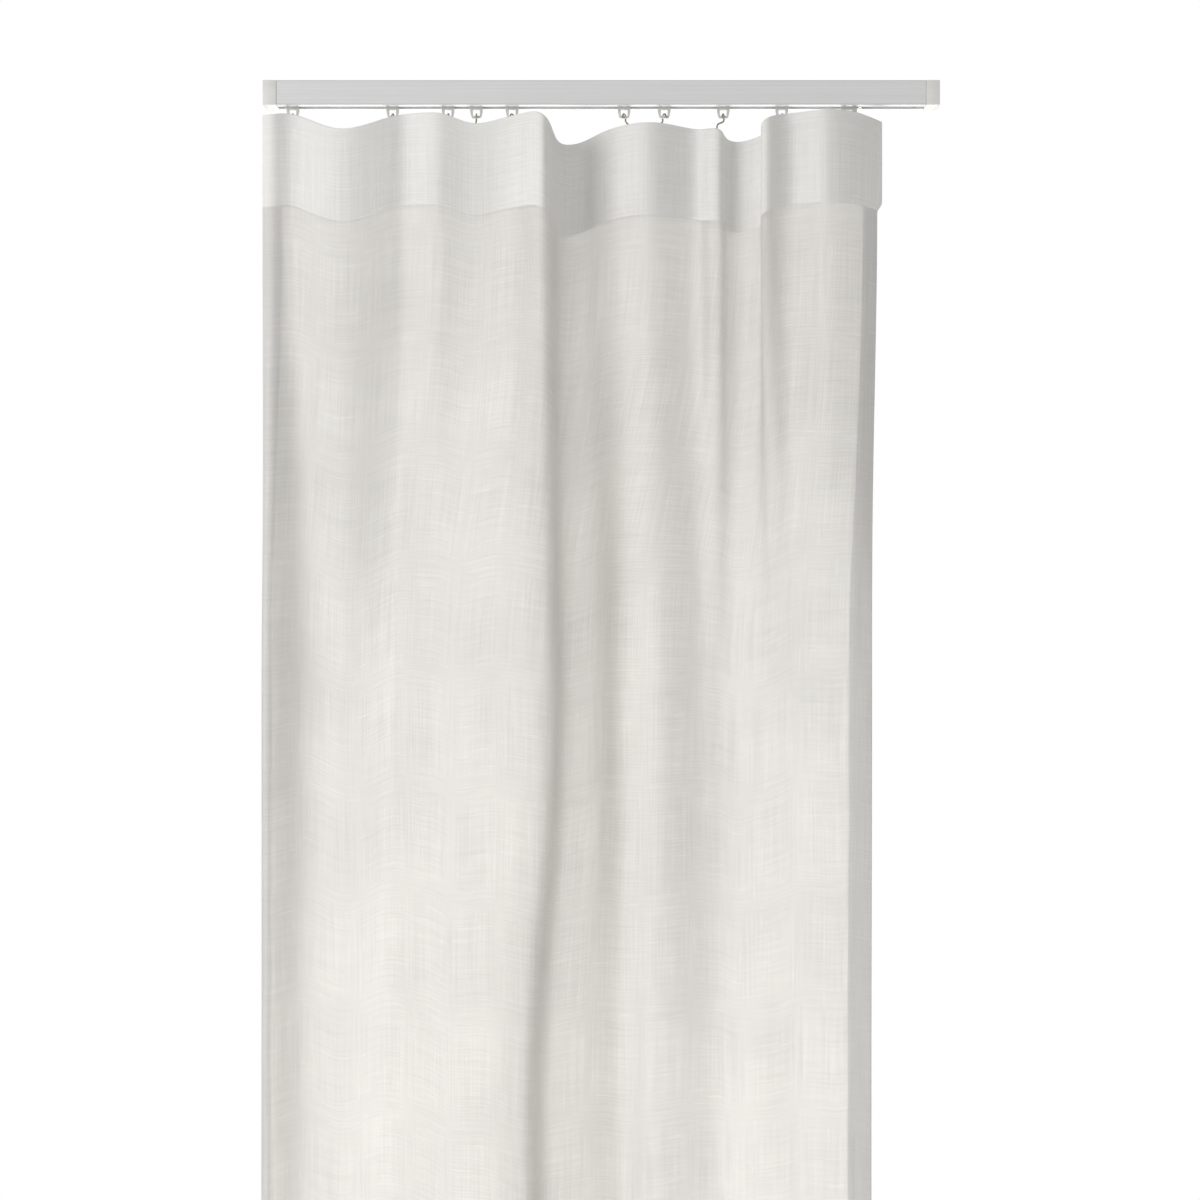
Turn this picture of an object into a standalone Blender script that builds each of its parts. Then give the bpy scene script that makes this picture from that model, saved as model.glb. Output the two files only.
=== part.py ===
"""A linen curtain panel that hangs from a ceiling track by wire hooks and sliding gliders.

Metres. X runs along the track, Y goes back towards the window and Z is up. The origin is the
middle of the track's top face, which lies against the ceiling.

The cloth is one sheet of FLAT_WIDTH, gathered to HUNG_WIDTH. Its folds are drawn as plan
curves, seen from above: one for the heading, one for the body and one for the foot. Between
them the folds blend, and at every height their depth is solved so that the curve is as long
as the sheet is wide, as real cloth is.
"""

import math

import bmesh
import bpy
import numpy as np
from mathutils import Matrix, Vector

MM = 0.001
GAP = 0.3 * MM  # left between pieces that touch

# The track: a C-shaped rail, open below, with a cap at each end.
RAIL_WIDTH = 22 * MM
RAIL_HEIGHT = 24.8 * MM
RAIL_WALL = 1.6 * MM
RAIL_CORNER = 1.0 * MM
RAIL_DISH = 0.3 * MM  # the front face is hollowed by this along its middle
SLOT_WIDTH = 8 * MM
OVERHANG = 58 * MM  # track beyond the closing edge of the heading
CAP_LENGTH = 14 * MM
PLUG_LENGTH = 8 * MM
CAP_EDGE = 0.5 * MM
SCREW_HOLE_RADIUS = 2.2 * MM
SCREW_HOLE_INSET = 75 * MM  # from each end of the track

# A glider: a head that slides in the rail, and a flat tab with an eye below it.
HEAD_LENGTH = 12.4 * MM
HEAD_HEIGHT = 4 * MM
HEAD_PLAY = 1.1 * MM  # each side, to the rail's walls
NECK_PLAY = 0.8 * MM  # each side, to the slot's lips
TAB_WIDTH = 12.6 * MM
TAB_FOOT_WIDTH = 10.4 * MM
TAB_THICKNESS = 2.6 * MM
TAB_HANG = 11 * MM  # how far the tab reaches below the rail
EYE_WIDTH = 7 * MM
EYE_HEIGHT = 6 * MM
EYE_BAR = 2.6 * MM  # material under the eye, over which the hook hangs

# The end stop: a block clamped in the rail, with a broader tab.
STOP_LENGTH = 30 * MM
STOP_HEIGHT = 12 * MM
STOP_TAB_WIDTH = 16 * MM
STOP_SCREW_RADIUS = 2 * MM
STOP_SCREW_OFFSET = 11 * MM  # from the tab's middle, along the track
STOP_SCREW_HEAD_RADIUS = 2.9 * MM
STOP_SCREW_HEAD = 2 * MM

# A hook of round wire: a loop over the glider's bar, a stem and an upturned prong.
WIRE = 1.6 * MM
LOOP_RADIUS = 3.3 * MM
HOOK_LENGTH = 30 * MM  # from the bar down to the bend
BEND_RADIUS = 2.5 * MM
PRONG_LENGTH = 13 * MM
KNEE_DOWN = 10 * MM  # the stem is upright below this, and leans to its loop above
MOST_HOOK_TURN = math.radians(28)

# The cloth.
HUNG_WIDTH = 0.62  # hem to hem, gathered on the track
FULLNESS = 0.78 / 0.62  # how much wider the sheet is when it lies flat
FLAT_WIDTH = FULLNESS * HUNG_WIDTH
DROP = 2.50  # top edge to bottom edge
CLOTH = 1.0 * MM
HEADING = 91 * MM  # the doubled band along the top
SIDE_HEM = 22 * MM
BOTTOM_HEM = 80 * MM
TAPE_HEIGHT = 50 * MM
TAPE_DOWN = 6 * MM  # from the top edge to the tape's upper edge
TAPE = 0.8 * MM
GATHER_CORD = 1.4 * MM
POCKET_WIDTH = 5 * MM
POCKET_BASE = 0.4 * MM
POCKET_HEIGHT = 9 * MM
POCKET_WALL = 0.8 * MM
HOOK_PLAY = 0.5 * MM  # between a hook's loop and the tape in front of it
BODY_AT = 0.58  # below the top edge, where the body's folds are fully formed
FOOT_AT = 0.98  # and where the foot's are
LEAST_FACING = 0.5  # a hook's place across per step along the sheet, so none is on a fold's side
FOOT_SWAY = 0.45  # share of the heading's rise and fall that is left at the bottom edge

# Where each glider stands and where its hook holds the cloth, as shares of HUNG_WIDTH from
# the leading edge. The first leads the curtain, and the last is the end stop.
HOLDS = (
    (0.046, 0.046),
    (0.208, 0.208),
    (0.298, 0.298),
    (0.344, 0.344),
    (0.402, 0.402),
    (0.584, 0.584),
    (0.649, 0.649),
    (0.745, 0.726),
    (0.840, 0.840),
    (0.949, 0.949),
)

# The folds, from the leading edge to the closing edge. Each has a share of HUNG_WIDTH and a
# depth in mm, front negative, for the heading, the body and the foot. The heading's third
# number is how many mm the top edge stands above the hooks' bar there.
FOLDS = (
    ((0.000, -8, -1), (0.000, 20), (0.000, 18)),  # leading edge
    ((0.016, -18, -3), (0.014, 4), (0.014, 0)),
    ((0.048, -6, 1), (0.057, 28), (0.054, 18)),  # held by the leading hook
    ((0.129, -24, -19), (0.131, 30), (0.119, 23)),
    ((0.208, -8, -2), (0.196, 30), (0.179, 20)),  # held
    ((0.228, -1, 2), (0.218, 22), (0.217, 10)),  # the great front fold's left crease
    ((0.281, -16, 0), (0.259, 4), (0.249, -4)),
    ((0.298, -12, -1), (0.278, -2), (0.269, -12)),  # held
    ((0.342, -5, -9), (0.321, -13), (0.308, -24)),  # held
    ((0.402, -10, -2), (0.382, -32), (0.366, -43)),  # held
    ((0.455, -50, -10), (0.468, -46), (0.434, -56)),  # the great front fold's edge
    ((0.478, 6, -25), (0.481, 12), (0.449, 8)),  # and the recess beside it
    ((0.513, 24, -21), (0.520, 24), (0.496, 16)),
    ((0.545, 18, -12), (0.551, 16), (0.545, 10)),
    ((0.582, -4, -10), (0.584, -6), (0.584, -2)),  # held
    ((0.618, -16, -10), (0.618, -12), (0.618, 0)),
    ((0.648, -8, -9), (0.649, -10), (0.649, 4)),  # held
    ((0.695, 12, -9), (0.699, 12), (0.699, 20)),
    ((0.722, -4, -14), (0.727, 20), (0.727, 27)),  # held
    ((0.742, -12, -15), (0.743, 24), (0.743, 30)),  # where the cloth turns under
    ((0.744, 5, -20), (0.754, 26), (0.756, 31)),
    ((0.760, 17, -24), (0.769, 28), (0.772, 31)),
    ((0.790, 14, -22), (0.788, 27), (0.790, 30)),
    ((0.813, 6, -18), (0.805, 25), (0.806, 27)),
    ((0.804, -12, -16), (0.818, 22), (0.821, 24)),  # and where it comes forward again
    ((0.802, -23, -12), (0.829, 19), (0.834, 20)),
    ((0.815, -23, -8), (0.842, 16), (0.848, 17)),
    ((0.840, -10, 0), (0.861, 10), (0.868, 12)),  # held
    ((0.857, -8, 1), (0.879, 6), (0.886, 9)),
    ((0.880, -16, 1), (0.899, 3), (0.905, 7)),
    ((0.903, -27, 0), (0.922, 1), (0.928, 5)),
    ((0.952, -13, 2), (0.954, 2), (0.957, 6)),  # held by the end stop's hook
    ((1.000, 16, -2), (0.985, 12), (0.985, 12)),  # closing edge
)
ROUNDING_PASSES = 24  # smoothing of a plan curve, for the stiffness of the cloth
CURVE_STEPS = 400
FACET_WIDTH = 24 * MM  # widest facet across the sheet
FACET_TURN = math.radians(38)  # and the most that two neighbours turn
BODY_ROWS = 7  # facets down the body, between the heading and the bottom hem

LEAD_EDGE_X = -(HUNG_WIDTH + OVERHANG) / 2
RAIL_HALF = -LEAD_EDGE_X
BAR_Z = -RAIL_HEIGHT - TAB_HANG + EYE_BAR / 2

# Distances behind the middle of the front layer of cloth.
BAND_FACE = CLOTH / 2 + GAP
TAPE_FACE = BAND_FACE + CLOTH + GAP
TAPE_BACK = TAPE_FACE + TAPE
POCKET_ROOM = WIRE + 2 * GAP
PRONG_BEHIND = TAPE_BACK + POCKET_BASE + POCKET_ROOM / 2

# Depth of the cloth where the hooks hold it, which brings the tape just before their loops.
HOOK_LINE = -(LOOP_RADIUS + WIRE / 2 + HOOK_PLAY + TAPE_BACK)
POCKET_Z = BAR_Z - HOOK_LENGTH + POCKET_HEIGHT / 2 + BEND_RADIUS
GLIDERS_X = tuple(LEAD_EDGE_X + glider * HUNG_WIDTH for glider, _ in HOLDS)


# ------------------------------------------------------------------ small helpers


def material(name, colour, roughness, metallic=0.0):
    made = bpy.data.materials.new(name)
    made.use_nodes = True
    shader = made.node_tree.nodes["Principled BSDF"]
    shader.inputs["Base Color"].default_value = (*colour, 1)
    shader.inputs["Roughness"].default_value = roughness
    shader.inputs["Metallic"].default_value = metallic
    made.diffuse_color = (*colour, 1)
    return made


def add_object(name, data, finish, location=(0, 0, 0)):
    made = bpy.data.objects.new(name, data)
    made.location = location
    if finish and not data.materials:
        data.materials.append(finish)
    bpy.context.scene.collection.objects.link(made)
    return made


def mesh_from(name, points, faces):
    mesh = bpy.data.meshes.new(name)
    mesh.from_pydata([tuple(p) for p in points], [], faces)
    shape = bmesh.new()
    shape.from_mesh(mesh)
    bmesh.ops.recalc_face_normals(shape, faces=shape.faces)
    shape.to_mesh(mesh)
    shape.free()
    return mesh


def prism(name, outline, depth_axis, low, high):
    """An outline of two coordinates, extruded along the third axis from low to high."""
    count = len(outline)

    def place(pair, along):
        point = list(pair)
        point.insert(depth_axis, along)
        return point

    points = [place(pair, low) for pair in outline] + [place(pair, high) for pair in outline]
    sides = [(i, (i + 1) % count, count + (i + 1) % count, count + i) for i in range(count)]
    faces = [tuple(range(count)), tuple(range(count, 2 * count))] + sides
    return mesh_from(name, points, faces)


def block(name, low, high):
    outline = ((low[0], low[1]), (high[0], low[1]), (high[0], high[1]), (low[0], high[1]))
    return prism(name, outline, 2, low[2], high[2])


def cylinder(name, radius, low, high, sides=16):
    """A round bar along Z from low to high."""
    ring = [
        (radius * math.cos(turn), radius * math.sin(turn))
        for turn in (2 * math.pi * i / sides for i in range(sides))
    ]
    return prism(name, ring, 2, low, high)


def with_booleans(base, steps):
    """The mesh of base after each (operation, mesh, place) is joined to it or cut from it."""
    worker = add_object("worker", base, None)
    helpers = []
    for number, (operation, mesh, place) in enumerate(steps):
        helper = add_object(f"helper_{number}", mesh, None, place)
        helper.hide_render = True
        helper.display_type = "WIRE"
        helpers.append(helper)
        boolean = worker.modifiers.new(operation.title(), "BOOLEAN")
        boolean.operation = operation
        boolean.solver = "EXACT"
        boolean.object = helper
    bpy.context.view_layer.update()
    graph = bpy.context.evaluated_depsgraph_get()
    result = bpy.data.meshes.new_from_object(worker.evaluated_get(graph))
    for done in [worker, *helpers]:
        bpy.data.objects.remove(done)
    return result


def smooth_shade(mesh, degrees=35):
    mesh.shade_smooth()
    mesh.set_sharp_from_angle(angle=math.radians(degrees))
    return mesh


def bevel_object(made, width, segments=2):
    edge = made.modifiers.new("Bevel", "BEVEL")
    edge.width = width
    edge.segments = segments
    edge.limit_method = "ANGLE"
    edge.angle_limit = math.radians(40)
    return made


# ------------------------------------------------------------------ the track


def rail_outline():
    """The rail's section as (y, z) pairs, from the front lip round to the back one."""
    half, slot, height, wall = RAIL_WIDTH / 2, SLOT_WIDTH / 2, RAIL_HEIGHT, RAIL_WALL

    def corner(y, z, start):
        turns = (math.radians(start + step) for step in (0, -45, -90))
        return [(y + RAIL_CORNER * math.cos(a), z + RAIL_CORNER * math.sin(a)) for a in turns]

    inset = half - RAIL_CORNER
    outer = [(-slot, -height)]
    outer += corner(-inset, -height + RAIL_CORNER, 270)
    outer += [(-half + RAIL_DISH, -height / 2)]
    outer += corner(-inset, -RAIL_CORNER, 180)
    outer += corner(inset, -RAIL_CORNER, 90)
    outer += corner(inset, -height + RAIL_CORNER, 0)
    outer += [(slot, -height)]
    inner = [
        (slot, -height + wall),
        (half - wall, -height + wall),
        (half - wall, -wall),
        (-half + wall, -wall),
        (-half + wall, -height + wall),
        (-slot, -height + wall),
    ]
    return outer + inner


def make_rail(finish):
    ends = RAIL_HALF - CAP_LENGTH
    bar = prism("track_rail", rail_outline(), 0, -ends, ends)
    hole = cylinder("screw_hole", SCREW_HOLE_RADIUS, -2 * RAIL_WALL, RAIL_WALL)
    places = [(side * (RAIL_HALF - SCREW_HOLE_INSET), 0, 0) for side in (-1, 1)]
    cut = with_booleans(bar, [("DIFFERENCE", hole, place) for place in places])
    cut.name = "track_rail"
    return add_object("track_rail", smooth_shade(cut), finish)


def make_cap(name, side, finish):
    """A moulded cap as thick as the rail, with a plug that enters its channel."""
    half, wall = RAIL_WIDTH / 2, RAIL_WALL
    inner = RAIL_HALF - CAP_LENGTH + GAP
    cover = block(name, (inner, -half, -RAIL_HEIGHT), (RAIL_HALF, half, 0))
    room = half - wall - GAP
    plug = block(
        "plug",
        (inner - PLUG_LENGTH, -room, -RAIL_HEIGHT + wall + GAP),
        (inner + GAP, room, -wall - GAP),
    )
    shape = with_booleans(cover, [("UNION", plug, (0, 0, 0))])
    if side < 0:
        shape.transform(Matrix.Rotation(math.pi, 4, "Z"))
    shape.name = name
    return bevel_object(add_object(name, shape, finish), CAP_EDGE)


# ------------------------------------------------------------------ gliders and end stop


def tab_mesh(width, foot_width, top):
    """The flat tab, from top down to its round foot, with its eye cut through."""
    foot = BAR_Z - EYE_BAR / 2
    cut = foot_width / 4
    outline = [
        (-width / 2, top),
        (-width / 2, BAR_Z + EYE_HEIGHT),
        (-foot_width / 2, foot + cut),
        (-foot_width / 2 + 0.3 * cut, foot + 0.3 * cut),
        (-foot_width / 2 + cut, foot),
    ]
    outline += [(-x, z) for x, z in reversed(outline)]
    half = TAB_THICKNESS / 2
    plate = prism("tab", outline, 1, -half, half)
    eye_foot = BAR_Z + EYE_BAR / 2
    eye = block(
        "eye",
        (-EYE_WIDTH / 2, -TAB_THICKNESS, eye_foot),
        (EYE_WIDTH / 2, TAB_THICKNESS, eye_foot + EYE_HEIGHT),
    )
    return plate, eye


def glider_mesh():
    floor = -RAIL_HEIGHT + RAIL_WALL + GAP
    head_half = RAIL_WIDTH / 2 - RAIL_WALL - HEAD_PLAY
    neck_half = SLOT_WIDTH / 2 - NECK_PLAY
    long = HEAD_LENGTH / 2
    head = block("head", (-long, -head_half, floor), (long, head_half, floor + HEAD_HEIGHT))
    under = -RAIL_HEIGHT - GAP
    neck = block("neck", (-long, -neck_half, under), (long, neck_half, floor + HEAD_HEIGHT / 2))
    plate, eye = tab_mesh(TAB_WIDTH, TAB_FOOT_WIDTH, floor)
    here = (0, 0, 0)
    steps = [("UNION", neck, here), ("UNION", plate, here), ("DIFFERENCE", eye, here)]
    shape = with_booleans(head, steps)
    shape.transform(Matrix.Translation((0, 0, -BAR_Z)))
    return smooth_shade(shape)


def make_end_stop(finish, screw_finish):
    """The clamped block, and the screw that presses it to the rail's roof."""
    x = GLIDERS_X[-1]
    floor = -RAIL_HEIGHT + RAIL_WALL + GAP
    block_half = RAIL_WIDTH / 2 - RAIL_WALL - HEAD_PLAY
    neck_half = SLOT_WIDTH / 2 - NECK_PLAY
    long = STOP_LENGTH / 2
    body = block("end_stop", (-long, -block_half, floor), (long, block_half, floor + STOP_HEIGHT))
    short = STOP_TAB_WIDTH / 2
    neck = block("neck", (-short, -neck_half, -RAIL_HEIGHT - GAP), (short, neck_half, floor + MM))
    plate, eye = tab_mesh(STOP_TAB_WIDTH, TAB_WIDTH, floor)
    bore = cylinder("bore", STOP_SCREW_RADIUS + GAP, 2 * floor, 0)
    here, aside = (0, 0, 0), (STOP_SCREW_OFFSET, 0, 0)
    steps = [
        ("UNION", neck, here),
        ("UNION", plate, here),
        ("DIFFERENCE", eye, here),
        ("DIFFERENCE", bore, aside),
    ]
    shape = with_booleans(body, steps)
    shape.name = "end_stop"
    shape.transform(Matrix.Translation((0, 0, -BAR_Z)))
    add_object("end_stop", smooth_shade(shape), finish, (x, 0, BAR_Z))

    head_top = floor - GAP
    shank = cylinder("shank", STOP_SCREW_RADIUS, head_top - MM, -RAIL_WALL - GAP)
    head = cylinder("screw_head", STOP_SCREW_HEAD_RADIUS, head_top - STOP_SCREW_HEAD, head_top)
    slot = block(
        "driver_slot",
        (-STOP_SCREW_HEAD_RADIUS * 2, -0.4 * MM, head_top - 2 * STOP_SCREW_HEAD),
        (STOP_SCREW_HEAD_RADIUS * 2, 0.4 * MM, head_top - STOP_SCREW_HEAD / 2),
    )
    screw = with_booleans(shank, [("UNION", head, here), ("DIFFERENCE", slot, here)])
    screw.name = "end_stop_screw"
    add_object("end_stop_screw", smooth_shade(screw), screw_finish, (x + aside[0], 0, 0))


# ------------------------------------------------------------------ the cloth's shape


def blend(low, high, share):
    eased = share * share * (3 - 2 * share)
    return low + (high - low) * eased


def fold_points(down):
    """The fold lines' (x, y, rise) at a distance below the top edge, before depth is solved."""
    heading = np.array([fold[0] for fold in FOLDS], float)
    body = np.array([fold[1] for fold in FOLDS], float)
    foot = np.array([fold[2] for fold in FOLDS], float)
    if down <= HEADING:
        plan = heading[:, :2]
    elif down <= BODY_AT:
        plan = blend(heading[:, :2], body, (down - HEADING) / (BODY_AT - HEADING))
    elif down <= FOOT_AT:
        plan = blend(body, foot, (down - BODY_AT) / (FOOT_AT - BODY_AT))
    else:
        plan = foot
    sway = 1.0 if down <= HEADING else blend(1.0, FOOT_SWAY, (down - HEADING) / (DROP - HEADING))
    x = LEAD_EDGE_X + plan[:, 0] * HUNG_WIDTH
    return np.column_stack([x, plan[:, 1] * MM, heading[:, 2] * MM * sway])


def spline_through(points, steps=12):
    """A Catmull-Rom curve through points, as a dense polyline."""
    padded = np.vstack([2 * points[0] - points[1], points, 2 * points[-1] - points[-2]])
    t = (np.arange(steps) / steps)[:, None]
    parts = []
    for a, b, c, d in zip(padded, padded[1:], padded[2:], padded[3:]):
        parts.append(
            b
            + 0.5 * t * (c - a)
            + 0.5 * t**2 * (2 * a - 5 * b + 4 * c - d)
            + 0.5 * t**3 * (3 * b - a - 3 * c + d)
        )
    return np.vstack(parts + [points[-1:]])


def lengths_along(curve):
    steps = np.linalg.norm(np.diff(curve[:, :2], axis=0), axis=1)
    return np.concatenate([[0], np.cumsum(steps)])


def evenly_spaced(curve, count):
    along = lengths_along(curve)
    places = np.linspace(0, along[-1], count)
    return np.column_stack([np.interp(places, along, curve[:, k]) for k in range(3)])


def rounded(curve):
    """The curve with its corners rounded, its ends kept."""
    for _ in range(ROUNDING_PASSES):
        curve[1:-1] = (curve[:-2] + 2 * curve[1:-1] + curve[2:]) / 4
    return curve


def plan_curve(down):
    """The cloth's curve at a distance below its top edge, as long as the sheet is wide."""
    base = rounded(evenly_spaced(spline_through(fold_points(down)), CURVE_STEPS))
    shallow, deep = 0.05, 8.0
    for _ in range(40):
        scale = (shallow + deep) / 2
        trial = base.copy()
        trial[:, 1] = HOOK_LINE + (base[:, 1] - HOOK_LINE) * scale
        if lengths_along(trial)[-1] < FLAT_WIDTH:
            shallow = scale
        else:
            deep = scale
    settled = min(max((down - HEADING) / (BODY_AT - HEADING), 0), 1)
    trial[:, 1] -= blend(0, trial[:, 1].mean(), settled)  # it hangs plumb under the track
    return trial


class Cloth:
    """Points of the hung sheet: s runs across it from the leading edge, down from its top."""

    def __init__(self):
        self.curves = {}

    def curve(self, down):
        if down not in self.curves:
            curve = plan_curve(down)
            self.curves[down] = (curve, lengths_along(curve) / FLAT_WIDTH)
        return self.curves[down]

    def point(self, s, down, behind=0.0):
        """The sheet's middle at (s, down), or a point that far behind it."""
        curve, along = self.curve(down)
        near = 2 * MM
        here, before, after = (
            np.array([np.interp(place / FLAT_WIDTH, along, curve[:, k]) for k in range(3)])
            for place in (s, max(s - near, 0), min(s + near, FLAT_WIDTH))
        )
        tangent = (after - before)[:2] / np.linalg.norm((after - before)[:2])
        back = Vector((-tangent[1], tangent[0], 0))
        return Vector((here[0], here[1], BAR_Z + here[2] - down)) + back * behind, back

    def held_at(self, hold):
        """The place across the sheet where a hook holds it, on a stretch that faces the room."""
        curve, along = self.curve(HEADING)
        facing = np.gradient(curve[:, 0]) / np.gradient(along * FLAT_WIDTH) > LEAST_FACING
        x = LEAD_EDGE_X + hold[1] * HUNG_WIDTH
        apart = np.hypot(curve[:, 0] - x, curve[:, 1] - HOOK_LINE)
        return float(along[np.argmin(np.where(facing, apart, np.inf))] * FLAT_WIDTH)


def columns_of(cloth):
    """Places across the sheet where the facets meet: hems' edges, hooks, and between them
    steps that are short where any of the plan curves turns sharply."""
    places = np.linspace(0, FLAT_WIDTH, 2 * CURVE_STEPS)
    turning = np.zeros(len(places))
    for down in (HEADING, BODY_AT, FOOT_AT):
        curve, along = cloth.curve(down)
        x, y = (np.interp(places / FLAT_WIDTH, along, curve[:, k]) for k in (0, 1))
        heading = np.unwrap(np.arctan2(np.gradient(y), np.gradient(x)))
        turning = np.maximum(turning, np.abs(np.gradient(heading)))
    effort = np.cumsum(np.diff(places, prepend=0) / FACET_WIDTH + turning / FACET_TURN)
    held = [cloth.held_at(hold) for hold in HOLDS]
    fixed = sorted([0, SIDE_HEM, *held, FLAT_WIDTH - SIDE_HEM, FLAT_WIDTH])
    columns = [0]
    for low, high in zip(fixed, fixed[1:]):
        start, end = np.interp([low, high], places, effort)
        steps = max(1, round(end - start))
        inner = np.linspace(start, end, steps + 1)[1:-1]
        columns += [*np.interp(inner, effort, places), high]
    return columns


def rows_of():
    """Distances below the top edge where the facets meet."""
    body_end = DROP - BOTTOM_HEM
    body = [blend_even(HEADING, body_end, i / BODY_ROWS) for i in range(1, BODY_ROWS)]
    return [0, TAPE_DOWN, TAPE_DOWN + TAPE_HEIGHT, HEADING, *body, body_end, DROP]


def blend_even(low, high, share):
    """Steps that start short under the heading, where the folds change most."""
    return low + (high - low) * share**1.5


def cloth_layer(cloth, name, columns, rows, nearest_face, thickness, finish):
    """One layer of cloth over the given columns and rows, its near face that far behind the
    sheet's middle."""
    across, count = len(columns), len(columns) * len(rows)
    sides = []
    for behind in (nearest_face, nearest_face + thickness):
        sides += [cloth.point(s, down, behind)[0] for down in rows for s in columns]
    faces = []
    for row in range(len(rows) - 1):
        for column in range(across - 1):
            a = row * across + column
            b = a + across
            for corners in ((a, a + 1, b + 1), (a, b + 1, b)):
                faces += [corners, tuple(count + i for i in reversed(corners))]
    rim = list(range(across))
    rim += [row * across + across - 1 for row in range(1, len(rows))]
    rim += [(len(rows) - 1) * across + i for i in range(across - 2, -1, -1)]
    rim += [row * across for row in range(len(rows) - 2, 0, -1)]
    for i, a in enumerate(rim):
        b = rim[(i + 1) % len(rim)]
        faces.append((b, a, count + a, count + b))
    mesh = mesh_from(name, sides, faces)
    return add_object(name, smooth_shade(mesh, 60), finish)


# ------------------------------------------------------------------ tape, cords and hooks


def pocket_steps(cloth, hold):
    """The solid and the tunnel of one woven loop on the tape's back, open above and below."""
    foot, back = cloth.point(cloth.held_at(hold), HEADING, TAPE_BACK)
    foot.z = 0
    along = Vector((back.y, -back.x, 0))

    def column(wide, near, far, reach):
        corners = ((-wide, near), (-wide, far), (wide, far), (wide, near))
        section = [foot + along * a + back * b for a, b in corners]
        outline = [(place.x, place.y) for place in section]
        return prism("pocket", outline, 2, POCKET_Z - reach, POCKET_Z + reach)

    roof = POCKET_BASE + POCKET_ROOM
    loop = column(POCKET_WIDTH / 2, -TAPE / 2, roof + POCKET_WALL, POCKET_HEIGHT / 2)
    tunnel = column(POCKET_ROOM / 2, POCKET_BASE, roof, POCKET_HEIGHT)
    return [("UNION", loop, (0, 0, 0)), ("DIFFERENCE", tunnel, (0, 0, 0))]


def make_tape(cloth, columns, finish):
    rows = [TAPE_DOWN, TAPE_DOWN + TAPE_HEIGHT]
    inside = [s for s in columns if SIDE_HEM <= s <= FLAT_WIDTH - SIDE_HEM]
    strip = cloth_layer(cloth, "heading_tape", inside, rows, TAPE_FACE, TAPE, finish)
    plain = strip.data
    bpy.data.objects.remove(strip)
    steps = [step for hold in HOLDS for step in pocket_steps(cloth, hold)]
    shape = with_booleans(plain, steps)
    shape.name = "heading_tape"
    return add_object("heading_tape", shape, finish)


def make_gather_cord(cloth, name, columns, down, finish):
    """A draw cord that lies in the tape's weave, level with the tape's lower part."""
    inside = [s for s in columns if SIDE_HEM <= s <= FLAT_WIDTH - SIDE_HEM]
    half = GATHER_CORD / 2
    rows = [down - half, down + half]
    return cloth_layer(cloth, name, inside, rows, TAPE_BACK + GAP, GATHER_CORD, finish)


def hook_path(cloth, x, hold):
    """The wire's middle line, from the prong's tip round to the loop's open end."""
    foot, back = cloth.point(cloth.held_at(hold), HEADING, PRONG_BEHIND)
    bend_z = BAR_Z - HOOK_LENGTH + BEND_RADIUS
    prong = Vector((foot.x, foot.y, bend_z))
    turn = math.atan2(-back.x, back.y)
    turn = max(-MOST_HOOK_TURN, min(MOST_HOOK_TURN, turn))
    out = Vector((-math.sin(turn), math.cos(turn), 0))
    up = Vector((0, 0, 1))
    bar = Vector((x, 0, BAR_Z))
    path = [prong + up * (PRONG_LENGTH - WIRE), prong + up * PRONG_LENGTH / 2]
    for step in range(7):
        angle = math.pi * (1 + step / 6)
        middle = prong + out * BEND_RADIUS
        path.append(middle + (out * math.cos(angle) + up * math.sin(angle)) * BEND_RADIUS)
    knee = prong + out * 2 * BEND_RADIUS
    knee.z = BAR_Z - KNEE_DOWN
    path.append(knee)
    foot_of_loop = math.radians(-25)
    for step in range(9):
        angle = foot_of_loop + math.radians(235) * step / 8
        path.append(bar + (out * math.cos(angle) + up * math.sin(angle)) * LOOP_RADIUS)
    return path, bar


def make_hook(cloth, number, finish):
    path, bar = hook_path(cloth, GLIDERS_X[number - 1], HOLDS[number - 1])
    name = f"hook_{number}"
    wire = bpy.data.curves.new(name, "CURVE")
    wire.dimensions = "3D"
    wire.bevel_depth = WIRE / 2
    wire.bevel_resolution = 1
    wire.use_fill_caps = True
    line = wire.splines.new("POLY")
    line.points.add(len(path) - 1)
    for point, place in zip(line.points, path):
        point.co = (*(place - bar), 1)
    return add_object(name, wire, finish, bar)


# ------------------------------------------------------------------ the whole object


def clear_scene():
    for old in list(bpy.data.objects):
        bpy.data.objects.remove(old)


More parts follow.
